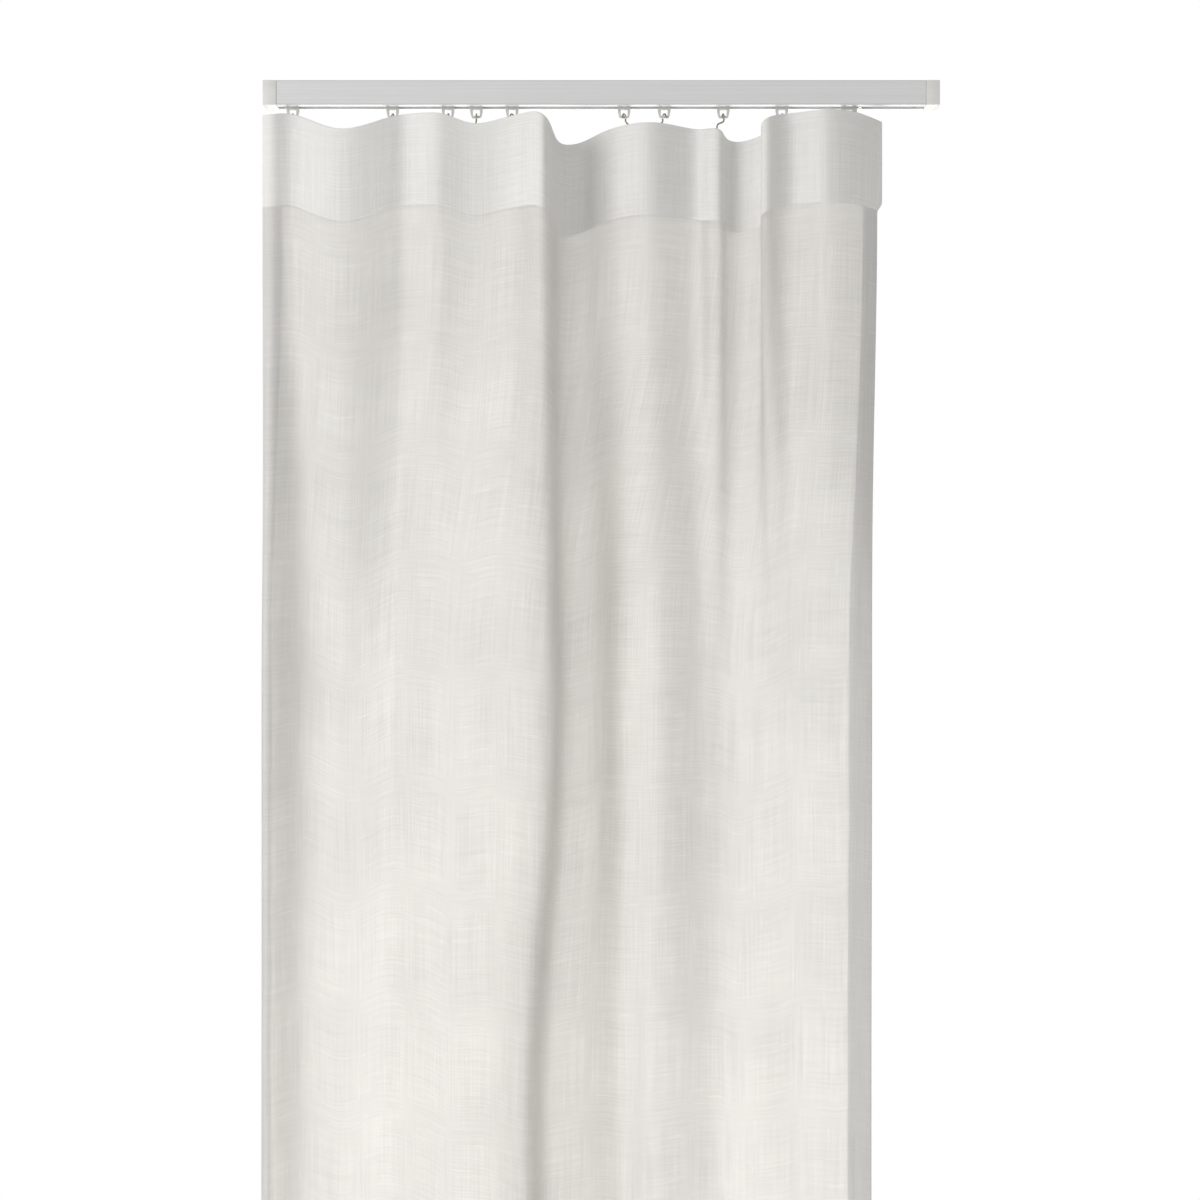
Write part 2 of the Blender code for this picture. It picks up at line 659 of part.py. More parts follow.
def build():
    aluminium = material("rail_lacquer", (0.62, 0.62, 0.62), 0.42)
    cap_plastic = material("cap_plastic", (0.66, 0.65, 0.63), 0.5)
    glider_plastic = material("glider_plastic", (0.72, 0.74, 0.69), 0.35)
    stop_plastic = material("stop_plastic", (0.5, 0.5, 0.48), 0.45)
    steel = material("hook_steel", (0.3, 0.27, 0.24), 0.3, 1.0)
    linen = material("linen", (0.86, 0.84, 0.8), 0.9)
    tape_cotton = material("tape_cotton", (0.9, 0.89, 0.86), 0.9)

    make_rail(aluminium)
    make_cap("end_cap_left", -1, cap_plastic)
    make_cap("end_cap_right", 1, cap_plastic)
    make_end_stop(stop_plastic, steel)
    glider = glider_mesh()
    for number, x in enumerate(GLIDERS_X[:-1], 1):
        add_object(f"glider_{number}", glider, glider_plastic, (x, 0, BAR_Z))

    cloth = Cloth()
    columns, rows = columns_of(cloth), rows_of()
    cloth_layer(cloth, "curtain_panel", columns, rows, -CLOTH / 2, CLOTH, linen)
    heading_rows = [down for down in rows if down <= HEADING]
    cloth_layer(cloth, "heading_band", columns, heading_rows, BAND_FACE, CLOTH, linen)
    side_rows = [down for down in rows if HEADING < down < DROP - BOTTOM_HEM]
    side_rows = [HEADING + GAP, *side_rows, DROP - BOTTOM_HEM - GAP]
    left = [s for s in columns if s <= SIDE_HEM]
    right = [s for s in columns if s >= FLAT_WIDTH - SIDE_HEM]
    cloth_layer(cloth, "side_hem_left", left, side_rows, BAND_FACE, CLOTH, linen)
    cloth_layer(cloth, "side_hem_right", right, side_rows, BAND_FACE, CLOTH, linen)
    hem_rows = [DROP - BOTTOM_HEM, DROP]
    cloth_layer(cloth, "bottom_hem", columns, hem_rows, BAND_FACE, CLOTH, linen)
    make_tape(cloth, columns, tape_cotton)
    tape_foot = TAPE_DOWN + TAPE_HEIGHT
    make_gather_cord(cloth, "gather_cord_upper", columns, tape_foot - 12 * MM, tape_cotton)
    make_gather_cord(cloth, "gather_cord_lower", columns, tape_foot - 5 * MM, tape_cotton)
    for number in range(1, len(HOLDS) + 1):
        make_hook(cloth, number, steel)


clear_scene()
build()
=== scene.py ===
# %% [markdown]
# # A linen curtain on a ceiling track
#
# A full-length curtain panel hangs from a slim track. The track, its gliders and its wire hooks are
# hard parts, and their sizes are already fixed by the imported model, which is loaded first. The cloth
# is one flat sheet that the hooks gather into folds, so most of this lesson is about cloth: how to
# get the folds from a plan, how to give the sheet its hems and its heading tape, and how to make a
# surface look woven.

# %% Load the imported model
import math

import bmesh
import bpy
import numpy as np
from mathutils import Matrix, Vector


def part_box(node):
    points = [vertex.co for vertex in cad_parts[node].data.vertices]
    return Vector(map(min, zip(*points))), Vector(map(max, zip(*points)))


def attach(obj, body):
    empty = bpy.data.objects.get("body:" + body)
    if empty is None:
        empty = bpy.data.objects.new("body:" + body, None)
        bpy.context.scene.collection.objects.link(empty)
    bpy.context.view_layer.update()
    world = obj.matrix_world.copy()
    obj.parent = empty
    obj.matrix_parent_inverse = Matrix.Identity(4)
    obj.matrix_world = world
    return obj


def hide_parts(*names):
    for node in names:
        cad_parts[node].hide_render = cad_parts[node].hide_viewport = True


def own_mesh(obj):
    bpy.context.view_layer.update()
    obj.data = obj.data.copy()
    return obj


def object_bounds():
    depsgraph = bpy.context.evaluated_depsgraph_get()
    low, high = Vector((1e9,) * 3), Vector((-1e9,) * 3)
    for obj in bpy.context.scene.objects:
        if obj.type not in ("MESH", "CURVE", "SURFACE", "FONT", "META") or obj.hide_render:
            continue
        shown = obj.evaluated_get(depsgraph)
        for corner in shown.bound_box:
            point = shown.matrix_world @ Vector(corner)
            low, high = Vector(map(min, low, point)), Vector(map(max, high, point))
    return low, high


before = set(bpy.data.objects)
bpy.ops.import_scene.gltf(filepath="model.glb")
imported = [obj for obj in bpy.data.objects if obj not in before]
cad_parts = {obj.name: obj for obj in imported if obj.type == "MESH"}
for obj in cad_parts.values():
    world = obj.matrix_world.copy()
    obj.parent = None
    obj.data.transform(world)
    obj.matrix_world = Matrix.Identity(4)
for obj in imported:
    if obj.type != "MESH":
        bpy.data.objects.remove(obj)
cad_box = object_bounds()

MM = 0.001

# %% [markdown]
# ## Where the camera stands
#
# The camera comes first, because it decides what has to look good. It stands straight in front of
# the curtain's upper part and looks level, so that the folds stay upright. The studio behind is
# white, and the pale floor lies just under the hem.

# %% Camera
EYE = (-0.00125, -1.700, -0.5205)
LENS = 50.64  # mm, on a 36 mm sensor


def placed(name, data):
    """A new object in the scene, made of this data."""
    made = bpy.data.objects.new(name, data)
    bpy.context.scene.collection.objects.link(made)
    return made


camera = placed("camera", bpy.data.cameras.new("camera"))
camera.data.lens = LENS
camera.data.clip_start, camera.data.clip_end = 0.05, 50
camera.location = EYE
camera.rotation_euler = (math.radians(90), 0, 0)
bpy.context.scene.camera = camera
print("camera at", EYE)

# %% [markdown]
# ## Soft light from the left, and some from behind
#
# Cloth only shows its folds when the light comes from one side. A large lamp at the left, as big as
# a window, brightens each slope that faces it and lets the other slopes fall off gently, and a weak
# one at the right keeps those from going dull. Linen is thin, so a third lamp stands behind it: it
# shines through the single cloth of the body, but hardly through the doubled heading, and so the
# heading's lower edge shows as a line. A white world fills the shadows. It is pure white to the
# camera and a dimmer white to the cloth, which is what a lit backdrop behind the object does.


# %% World and lamps
def area_lamp(name, place, target, size, power, colour=(1, 1, 1)):
    lamp = bpy.data.lights.new(name, "AREA")
    lamp.shape = "RECTANGLE"
    lamp.size, lamp.size_y = size
    lamp.energy = power
    lamp.color = colour
    made = placed(name, lamp)
    made.location = place
    made.rotation_euler = (Vector(target) - Vector(place)).to_track_quat("-Z", "Y").to_euler()
    made.visible_camera = False


AMBIENT = 0.57  # strength of the world's light
KEY_POWER, FILL_POWER, BACK_POWER = 64, 9, 78  # watts

world = bpy.data.worlds.new("studio")
bpy.context.scene.world = world
world.use_nodes = True
world_nodes = world.node_tree
world_nodes.nodes.clear()
to_world = world_nodes.nodes.new("ShaderNodeOutputWorld")
either = world_nodes.nodes.new("ShaderNodeMixShader")
rays = world_nodes.nodes.new("ShaderNodeLightPath")
room_light, backdrop = (world_nodes.nodes.new("ShaderNodeBackground") for _ in range(2))
room_light.inputs["Color"].default_value = (1.0, 0.995, 0.985, 1)
room_light.inputs["Strength"].default_value = AMBIENT
backdrop.inputs["Color"].default_value = (1, 1, 1, 1)
world_nodes.links.new(rays.outputs["Is Camera Ray"], either.inputs[0])
world_nodes.links.new(room_light.outputs[0], either.inputs[1])
world_nodes.links.new(backdrop.outputs[0], either.inputs[2])
world_nodes.links.new(either.outputs[0], to_world.inputs["Surface"])
bpy.context.scene.view_settings.view_transform = "Standard"

MIDDLE, LOWER_BODY = (0, 0, -0.9), (0, 0, -1.5)  # what the lamps point at
area_lamp("key", (-2.6, -2.3, -0.1), MIDDLE, (1.6, 2.2), KEY_POWER, (1, 0.998, 0.99))
area_lamp("fill", (2.4, -2.6, -0.9), MIDDLE, (2.0, 2.2), FILL_POWER)
area_lamp("back", (0.1, 2.2, -1.7), LOWER_BODY, (2.2, 1.4), BACK_POWER)

# %% [markdown]
# ## Small helpers for node trees
#
# Every finish here is made of nodes. Writing `nodes.new` and `links.new` for each would hide the
# idea, so a short helper makes a node, sets its inputs and plugs in whatever comes from another
# node. The same helper serves the Geometry Nodes trees further down.


# %% Node helpers
class Nodes:
    """A node tree that is built up step by step."""

    kinds = "ShaderNode"

    def node(self, kind, settings=None, **inputs):
        """A new node. An input is given by its name, or by its number as i0, i1 and so on."""
        made = self.tree.nodes.new(kind if "Node" in kind else self.kinds + kind)
        for key, value in (settings or {}).items():
            setattr(made, key, value)
        for key, value in inputs.items():
            numbered = key[0] == "i" and key[1:].isdigit()
            self.feed(made.inputs[int(key[1:]) if numbered else key.replace("_", " ")], value)
        return made

    def feed(self, socket, value):
        if isinstance(value, bpy.types.NodeSocket):
            self.tree.links.new(value, socket)
        else:
            socket.default_value = value

    def maths(self, operation, a, b=0.0):
        return self.node("ShaderNodeMath", {"operation": operation}, i0=a, i1=b).outputs[0]

    def plus(self, a, b):
        return self.maths("ADD", a, b)

    def times(self, a, b):
        return self.maths("MULTIPLY", a, b)


class Finish(Nodes):
    """A material's node tree with one Principled shader."""

    def __init__(self, name):
        self.material = bpy.data.materials.new(name)
        self.material.use_nodes = True
        self.tree = self.material.node_tree
        self.shader = self.tree.nodes["Principled BSDF"]
        self.output = self.tree.nodes["Material Output"]

    def set(self, **inputs):
        for key, value in inputs.items():
            self.feed(self.shader.inputs[key.replace("_", " ")], value)

    def coordinates(self):
        """The place on the piece in metres, which moves with it."""
        return self.node("TexCoord").outputs["Object"]

    def scaled(self, vector, scale):
        """The vector with each of its parts multiplied by a number of its own."""
        return self.node("Mapping", Vector=vector, Scale=scale).outputs[0]

    def noise(self, vector, scale, detail=2.0, roughness=0.5):
        sizes = {"Scale": scale, "Detail": detail, "Roughness": roughness}
        return self.node("TexNoise", Vector=vector, **sizes).outputs["Fac"]

    def ranged(self, value, low, high, to_low=0.0, to_high=1.0):
        """The value, with low to high stretched to the range from to_low to to_high."""
        ends = {"From_Min": low, "From_Max": high, "To_Min": to_low, "To_Max": to_high}
        return self.node("MapRange", Value=value, **ends).outputs[0]

    def mixed(self, share, first, second, blend_type="MIX"):
        kind = {"data_type": "RGBA", "blend_type": blend_type}
        return self.node("Mix", kind, i0=share, i6=first, i7=second).outputs[2]

    def bump(self, height, distance, strength=1.0):
        made = self.node("Bump", Height=height, Strength=strength, Distance=distance)
        self.set(Normal=made.outputs["Normal"])


def opaque(r, g, b):
    return (r, g, b, 1)


# %% [markdown]
# ## The sizes of the curtain
#
# The sheet is 0.78 m wide and 2.50 m long when it lies flat, and the hooks gather it to 0.62 m. Each
# row of the fold table below is one fold line, which runs from the top edge to the hem. It has a
# place across the curtain and a depth for the heading, for the body and for the foot, and the
# cloth's curve passes through all of them. The heading also says how high the top edge stands there,
# because the cloth sags a little between two hooks.

# %% Sizes and fold lines
rail_low, rail_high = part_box("track_rail")
FLAT_WIDTH, HUNG_WIDTH, DROP = 0.78, 0.62, 2.50
CLOTH = 1.0 * MM
GAP = 0.3 * MM  # between two layers
HEADING = 91 * MM
SIDE_HEM = 22 * MM
BOTTOM_HEM = 80 * MM
BODY_AT, FOOT_AT = 0.58, 0.98  # how far down the body's and the foot's fold depths hold
FOOT_SWAY = 0.45  # the share of the top edge's ups and downs that reaches the hem
LEAD_EDGE_X = -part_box("end_cap_right")[1].x
GLIDERS = [f"glider_{number}" for number in range(1, 10)]
BAR_RADIUS = 1.3 * MM
BAR_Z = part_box("glider_1")[0].z + BAR_RADIUS  # the bar under the eye, where a hook hangs
TAPE = 0.8 * MM
TAPE_BACK = CLOTH / 2 + GAP + CLOTH + GAP + TAPE
WIRE = 1.6 * MM
LOOP_RADIUS = 3.3 * MM  # of the hook's loop over the bar
HOOK_PLAY = 0.5 * MM
HOOK_LINE = -(LOOP_RADIUS + WIRE / 2 + HOOK_PLAY + TAPE_BACK)

# Each row: (place, depth and rise in mm) in the heading, (place, depth) in the body and at the foot.
FOLDS = (
    ((0.000, -8, -1), (-0.010, 14), (-0.010, 12)),  # leading edge
    ((0.016, -18, -3), (0.006, 2), (0.006, 0)),
    ((0.048, -6, 1), (0.057, 28), (0.054, 18)),  # held by the leading hook
    ((0.129, -24, -19), (0.131, 30), (0.119, 23)),
    ((0.208, -8, -2), (0.196, 30), (0.179, 20)),  # held
    ((0.228, -1, 2), (0.218, 22), (0.217, 10)),  # the great front fold's left crease
    ((0.281, -16, 0), (0.259, 4), (0.249, -4)),
    ((0.298, -12, -1), (0.278, -2), (0.269, -12)),  # held
    ((0.342, -5, -9), (0.321, -13), (0.308, -24)),  # held
    ((0.402, -10, -2), (0.382, -32), (0.366, -43)),  # held
    ((0.455, -50, -10), (0.468, -46), (0.434, -56)),  # the great front fold's edge
    ((0.478, 6, -25), (0.481, 12), (0.449, 8)),  # and the recess beside it
    ((0.513, 24, -21), (0.520, 24), (0.496, 16)),
    ((0.545, 18, -12), (0.551, 16), (0.545, 10)),
    ((0.582, -4, -10), (0.584, -6), (0.584, -2)),  # held
    ((0.618, -16, -10), (0.618, -12), (0.618, 0)),
    ((0.648, -8, -9), (0.649, -10), (0.649, 4)),  # held
    ((0.704, 13, -10), (0.706, 14), (0.703, 20)),
    ((0.721, -8, -14), (0.727, 20), (0.727, 27)),  # held
    ((0.742, -12, -15), (0.743, 24), (0.743, 30)),  # where the cloth turns under
    ((0.746, 3, -20), (0.754, 25), (0.756, 31)),
    ((0.762, 11, -24), (0.769, 26), (0.772, 31)),
    ((0.790, 6, -22), (0.788, 24), (0.790, 30)),
    ((0.812, 0, -18), (0.805, 23), (0.806, 27)),
    ((0.804, -16, -16), (0.818, 22), (0.821, 24)),  # and where it comes forward again
    ((0.802, -29, -12), (0.829, 19), (0.834, 20)),
    ((0.815, -28, -8), (0.842, 16), (0.848, 17)),
    ((0.840, -10, 0), (0.861, 10), (0.868, 12)),  # held
    ((0.857, -8, 1), (0.879, 6), (0.886, 9)),
    ((0.880, -16, 1), (0.899, 3), (0.905, 7)),
    ((0.903, -27, 0), (0.922, 1), (0.928, 5)),
    ((0.952, -13, 2), (0.954, 2), (0.957, 6)),  # held by the end stop's hook
    ((1.005, 12, -2), (0.985, 4), (0.985, 5)),  # closing edge
)
print("bar height", round(BAR_Z, 5), "hook line", round(HOOK_LINE, 5))

# %% [markdown]
# ## From fold lines to a hung sheet
#
# Seen from above, cloth is one curve whose length never changes. So for each height the fold lines
# are joined by a smooth curve, its sharp corners are rounded by averaging, and then its depth is
# scaled until the curve is exactly as long as the sheet is wide. Bisection finds that scale: it
# tries the middle of a range again and again, and keeps the half that holds the answer. The heading
# is stiff, because it is doubled and taped, so its corners are rounded more than the body's.

# %% Plan curves
CURVE_STEPS = 400
STIFF_PASSES, LIMP_PASSES = 24, 4  # rounding of the heading's corners, and of the body's
SHALLOWEST, DEEPEST = 0.05, 8.0  # the range that the depth's scale is sought in
HALVINGS = 40


def eased(low, high, share):
    share = min(max(share, 0), 1)
    return low + (high - low) * share * share * (3 - 2 * share)


def settled(down):
    """0 in the heading, 1 from where the body's folds are fully formed."""
    return eased(0, 1, (down - HEADING) / (BODY_AT - HEADING))


def fold_points(down):
    heading, body, foot = (np.array([fold[k][:2] for fold in FOLDS], float) for k in range(3))
    rise = np.array([fold[0][2] for fold in FOLDS], float)
    if down <= BODY_AT:
        plan = eased(heading, body, (down - HEADING) / (BODY_AT - HEADING))
    else:
        plan = eased(body, foot, (down - BODY_AT) / (FOOT_AT - BODY_AT))
    sway = eased(1.0, FOOT_SWAY, (down - HEADING) / (DROP - HEADING))
    x = LEAD_EDGE_X + plan[:, 0] * HUNG_WIDTH
    return np.column_stack([x, plan[:, 1] * MM, rise * MM * sway])


def spline_through(points, steps=12):
    """A smooth curve through points, as many short steps."""
    ends = np.vstack([2 * points[0] - points[1], points, 2 * points[-1] - points[-2]])
    t = (np.arange(steps) / steps)[:, None]
    parts = [
        b
        + 0.5 * t * (c - a)
        + 0.5 * t**2 * (2 * a - 5 * b + 4 * c - d)
        + 0.5 * t**3 * (3 * b - a - 3 * c + d)
        for a, b, c, d in zip(ends, ends[1:], ends[2:], ends[3:])
    ]
    return np.vstack(parts + [points[-1:]])


def lengths_along(curve):
    steps = np.linalg.norm(np.diff(curve[:, :2], axis=0), axis=1)
    return np.concatenate([[0], np.cumsum(steps)])


def rounded(curve, passes):
    curve = curve.copy()
    for _ in range(passes):
        curve[1:-1] = (curve[:-2] + 2 * curve[1:-1] + curve[2:]) / 4
    return curve


def plan_curve(down):
    dense = spline_through(fold_points(down))
    along = lengths_along(dense)
    places = np.linspace(0, along[-1], CURVE_STEPS)
    even = np.column_stack([np.interp(places, along, dense[:, k]) for k in range(3)])
    limp = settled(down)
    base = rounded(even, STIFF_PASSES) * (1 - limp) + rounded(even, LIMP_PASSES) * limp
    shallow, deep = SHALLOWEST, DEEPEST
    for _ in range(HALVINGS):
        scale = (shallow + deep) / 2
        trial = base.copy()
        trial[:, 1] = HOOK_LINE + (base[:, 1] - HOOK_LINE) * scale
        if lengths_along(trial)[-1] < FLAT_WIDTH:
            shallow = scale
        else:
            deep = scale
    trial[:, 1] -= trial[:, 1].mean() * limp  # the body hangs plumb under the track
    return trial, lengths_along(trial) / FLAT_WIDTH


print("plan at the heading:", len(plan_curve(HEADING)[0]), "points")

# %% [markdown]
# ## Ripples that are too small for the plan
#
# Linen is never perfectly even. Long shallow ripples run down from the heading. They are a sum of a
# few waves with a fixed seed, so every run gives the same cloth, and they grow from nothing at the
# heading, where the tape holds the cloth flat. Just below the heading the closing edge is turned in
# a little more.

# %% Ripples and the closing edge
RIPPLE = 1.0 * MM
RIPPLE_RUN = 0.35  # how far below the heading the ripples are fully grown
EDGE_STEP = 7 * MM  # how far the closing edge is turned in
EDGE_REACH = 0.07  # how wide a strip beside it is drawn along
waves = np.random.default_rng(11)
WAVE_RANGES = ((24, 95), (-2.2, 2.2), (0, 2 * math.pi), (0.4, 1))  # per metre, lean, start, size
RIPPLES = [tuple(waves.uniform(*ends) for ends in WAVE_RANGES) for _ in range(9)]


def ripple(across, down):
    """How far the sheet stands behind its plan at these places across it."""
    total = sum(
        size * np.sin(per_metre * across + lean * down + 0.8 * math.sin(2.1 * down + start) + start)
        for per_metre, lean, start, size in RIPPLES
    )
    return RIPPLE * total / math.sqrt(len(RIPPLES)) * eased(0, 1, (down - HEADING) / RIPPLE_RUN)


def turned_in(across, down):
    """Places across the sheet after the closing edge is turned in below the heading."""
    share = eased(0, 1, (down - HEADING + 10 * MM) / (12 * MM)) * (1 - settled(down))
    near = np.clip((across - FLAT_WIDTH + EDGE_REACH) / EDGE_REACH, 0, 1)
    return across - EDGE_STEP * share * near * near


class Cloth:
    """Points of the hung sheet, in rows from the top edge to the hem."""

    def __init__(self):
        self.plans = {}

    def plan(self, down):
        key = round(down, 6)
        if key not in self.plans:
            self.plans[key] = plan_curve(down)
        return self.plans[key]

    def row(self, across, down, behind=0.0):
        """Points at one height, at these places across the sheet and that far behind it."""
        curve, along = self.plan(down)
        flat = turned_in(np.asarray(across, float), down)
        near = 2 * MM
        here, before, after = (
            np.column_stack([np.interp(place / FLAT_WIDTH, along, curve[:, k]) for k in range(3)])
            for place in (flat, np.maximum(flat - near, 0), np.minimum(flat + near, FLAT_WIDTH))
        )
        tangent = (after - before)[:, :2]
        tangent /= np.linalg.norm(tangent, axis=1)[:, None]
        back = np.column_stack([-tangent[:, 1], tangent[:, 0], np.zeros(len(flat))])
        points = here.copy()
        points[:, 2] = BAR_Z + here[:, 2] - down
        offset = behind + ripple(flat, down)
        return points + back * np.broadcast_to(offset, flat.shape)[:, None], back

    def at(self, across, down, behind=0.0):
        points, back = self.row([across], down, behind)
        return Vector(points[0]), Vector(back[0])

    def held_at(self, share):
        """The place across the sheet where a hook holds it, on a stretch that faces the room.

        The share says how far the hook stands from the leading edge, of the hung width."""
        curve, along = self.plan(HEADING)
        facing = np.gradient(curve[:, 0]) / np.gradient(along * FLAT_WIDTH) > 0.5
        x = LEAD_EDGE_X + share * HUNG_WIDTH
        apart = np.hypot(curve[:, 0] - x, curve[:, 1] - HOOK_LINE)
        return float(along[np.argmin(np.where(facing, apart, np.inf))] * FLAT_WIDTH)


cloth = Cloth()
print("top corner of the closing edge:", tuple(round(c, 4) for c in cloth.at(FLAT_WIDTH, 0)[0]))

# %% [markdown]
# ## Linen
#
# Linen yarn is spun from long flax fibres, and it is never the same thickness for long. Threads that
# run down and threads that run across give two sets of fine streaks, thick places called slubs show
# as short dashes, and the over-and-under of the weave shows as a tiny check. The pattern follows the
# cloth, so it reads a UV map whose units are metres along the flat sheet. Light passes through thin
# cloth, so a Translucent shader takes a share of the Principled one: a small share in the heading,
# more in the side hems, and most in the single cloth of the body.

# %% Linen finish
THREAD = 0.95 * MM  # from one thread to the next
LINEN = (0.858, 0.848, 0.826)
THROUGH_HEADING, THROUGH_BODY, THROUGH_HEM = 0.08, 0.62, 0.3  # the Translucent shader's share
SEAM_EDGE = 0.4 * MM  # over which the finish changes at the heading's lower edge
SHADE = 0.95
CHECK_TONE, SLUB_TONE, PATCH_TONE = 0.045, 0.07, 0.018
RELIEF, RELIEF_STRENGTH = 0.35 * MM, 0.55


def linen_finish(name):
    made = Finish(name)
    flat = made.node("UVMap", {"uv_map": "weave"}).outputs["UV"]
    split = made.node("SeparateXYZ", Vector=flat)
    wander = made.node("TexNoise", Vector=flat, Scale=14.0, Detail=1.0).outputs["Color"]
    gently = made.node("VectorMath", {"operation": "SCALE"}, i0=wander, Scale=0.5 * MM)
    warped = made.node("VectorMath", {"operation": "ADD"}, i0=flat, i1=gently.outputs[0])
    weave = warped.outputs[0]

    def streaked(per_metre_across, per_metre_down, detail, roughness=0.5):
        """Noise that is drawn out along the threads, the way that has the smaller number."""
        stretched = made.scaled(weave, (per_metre_across, per_metre_down, 1))
        return made.noise(stretched, 1.0, detail, roughness)

    down_streaks = streaked(0.9 / THREAD, 9, 3.0, 0.65)
    cross_streaks = streaked(17, 0.9 / THREAD, 3.0, 0.65)
    slub_down = made.ranged(streaked(0.55 / THREAD, 32, 1.0), 0.66, 0.78)
    slub_cross = made.ranged(streaked(38, 0.6 / THREAD, 1.0), 0.64, 0.76)
    turns = math.pi / THREAD
    parts = made.node("SeparateXYZ", Vector=weave)
    over = made.maths("SINE", made.times(parts.outputs["X"], turns))
    under = made.maths("SINE", made.times(parts.outputs["Y"], turns))
    check = made.times(over, under)
    patches = made.noise(flat, 9.0, 2.0)
    slubs = made.maths("MAXIMUM", slub_down, slub_cross)

    streaks = made.times(made.plus(down_streaks, cross_streaks), 0.5)
    tone = made.ranged(streaks, 0.36, 0.66, 0.88, 1.045)
    tone = made.plus(tone, made.times(check, CHECK_TONE))
    tone = made.plus(tone, made.times(slubs, SLUB_TONE))
    tone = made.plus(tone, made.ranged(patches, 0.3, 0.7, -PATCH_TONE, PATCH_TONE))
    tone = made.times(tone, SHADE)
    grey = made.node("CombineColor", i0=tone, i1=tone, i2=tone).outputs[0]
    colour = made.mixed(1.0, grey, opaque(*LINEN), "MULTIPLY")
    made.set(Base_Color=colour, Roughness=made.ranged(streaks, 0.35, 0.65, 0.92, 0.78))
    made.set(Specular_IOR_Level=0.25, Sheen_Weight=0.12, Sheen_Roughness=0.5)
    height = made.plus(streaks, made.times(check, 0.25))
    height = made.plus(height, made.times(slubs, 0.5))
    made.bump(height, RELIEF, RELIEF_STRENGTH)

    in_heading = made.ranged(split.outputs["Y"], -HEADING - SEAM_EDGE, -HEADING)
    from_middle = made.maths("SUBTRACT", split.outputs["X"], FLAT_WIDTH / 2)
    from_middle = made.maths("ABSOLUTE", from_middle)
    hem_line = FLAT_WIDTH / 2 - SIDE_HEM
    in_hem = made.ranged(from_middle, hem_line - MM, hem_line + MM, THROUGH_BODY, THROUGH_HEM)
    in_cloth = made.times(in_hem, made.maths("SUBTRACT", 1.0, in_heading))
    through = made.plus(in_cloth, made.times(in_heading, THROUGH_HEADING))
    behind = made.node("BsdfTranslucent", Color=colour)
    both = made.node("MixShader", Fac=through, i1=made.shader.outputs[0], i2=behind.outputs[0])
    made.tree.links.new(both.outputs[0], made.output.inputs["Surface"])
    return made.material


linen = linen_finish("linen_weave")
print("linen nodes:", len(linen.node_tree.nodes))

# %% [markdown]
# ## Sewing a layer of cloth
#
# Each layer, such as the panel, a hem or the doubled heading, is a grid of points on the hung sheet
# with a second grid one thickness behind it and a rim that joins them. The same function makes them
# all, so layers stay parallel and never cut through each other. The UV map is filled from the places
# on the flat sheet, so the weave runs straight on from one layer to the next.


# %% Layer helper
def steps_between(*stops):
    """Places from stop to stop: each stop is (where it ends, how many steps lead there)."""
    places = [stops[0]]
    for end, count in stops[1:]:
        places += list(np.linspace(places[-1], end, count + 1)[1:])
    return places


def layer(name, columns, rows, behind, thickness, finish, dent=None):
    """A closed sheet over these columns and rows.

    Its near face lies that far behind the panel's middle, and dent gives how much further back
    each row lies."""
    across, count = len(columns), len(columns) * len(rows)
    fronts, backs = [], []
    for down in rows:
        sunk = dent(down) if dent else 0.0
        fronts.append(cloth.row(columns, down, behind + sunk)[0])
        backs.append(cloth.row(columns, down, behind + thickness + sunk)[0])
    points = np.vstack(fronts + backs)
    grid = np.arange(count).reshape(len(rows), across)
    a, b, c, d = grid[:-1, :-1], grid[:-1, 1:], grid[1:, 1:], grid[1:, :-1]
    front = np.stack([a, d, c, b], -1).reshape(-1, 4)
    back = np.stack([a, b, c, d], -1).reshape(-1, 4) + count
    rim = [*grid[0], *grid[1:, -1], *grid[-1, -2::-1], *grid[-2:0:-1, 0]]
    rim = [int(place) for place in rim]
    ring = [(p, q, count + q, count + p) for p, q in zip(rim, rim[1:] + rim[:1])]
    mesh = bpy.data.meshes.new(name)
    mesh.from_pydata(points.tolist(), [], [*front.tolist(), *back.tolist(), *ring])
    flat = np.array([(s, -down) for down in rows for s in columns] * 2, np.float32)
    uv = mesh.uv_layers.new(name="weave")
    corner = np.empty(len(mesh.loops), np.int32)
    mesh.loops.foreach_get("vertex_index", corner)
    uv.data.foreach_set("uv", flat[corner].ravel())
    mesh.shade_smooth()
    mesh.set_sharp_from_angle(angle=math.radians(60))
    mesh.materials.append(finish)
    print(name, len(mesh.polygons), "faces")
    return placed(name, mesh)


# %% [markdown]
# ## The panel and its hems
#
# The front of the curtain is one sheet from edge to edge. Behind it the top 91 mm is doubled, each
# side is turned in by 22 mm and the bottom by 80 mm. A line of stitches holds every fold down, and
# it pulls the two layers together, so the rows near a seam are close together and dented by a
# fraction of a millimetre.

# %% Panel, heading and hems
SEAM_INSET = 2.5 * MM
SEAM_DENT = 0.13 * MM  # less than half the gap between the layers
HEADING_SEAM = HEADING - SEAM_INSET
HEM_SEAM = DROP - BOTTOM_HEM + SEAM_INSET
BAND_FACE = CLOTH / 2 + GAP
HEM_COLUMNS = 8
WIDE, LONG = ((344, 84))  # steps across and down the body


def sunk_at_seam(down):
    """How far the stitches pull the front layer back."""
    near = (abs(down - seam) / (2 * MM) for seam in (HEADING_SEAM, HEM_SEAM))
    return SEAM_DENT * sum(max(0, 1 - away) for away in near)


def raised_at_seam(down):
    return -sunk_at_seam(down)


def seam_rows(seam):
    return [seam - 2.4 * MM, seam - 1.2 * MM, seam, seam + 1.2 * MM]


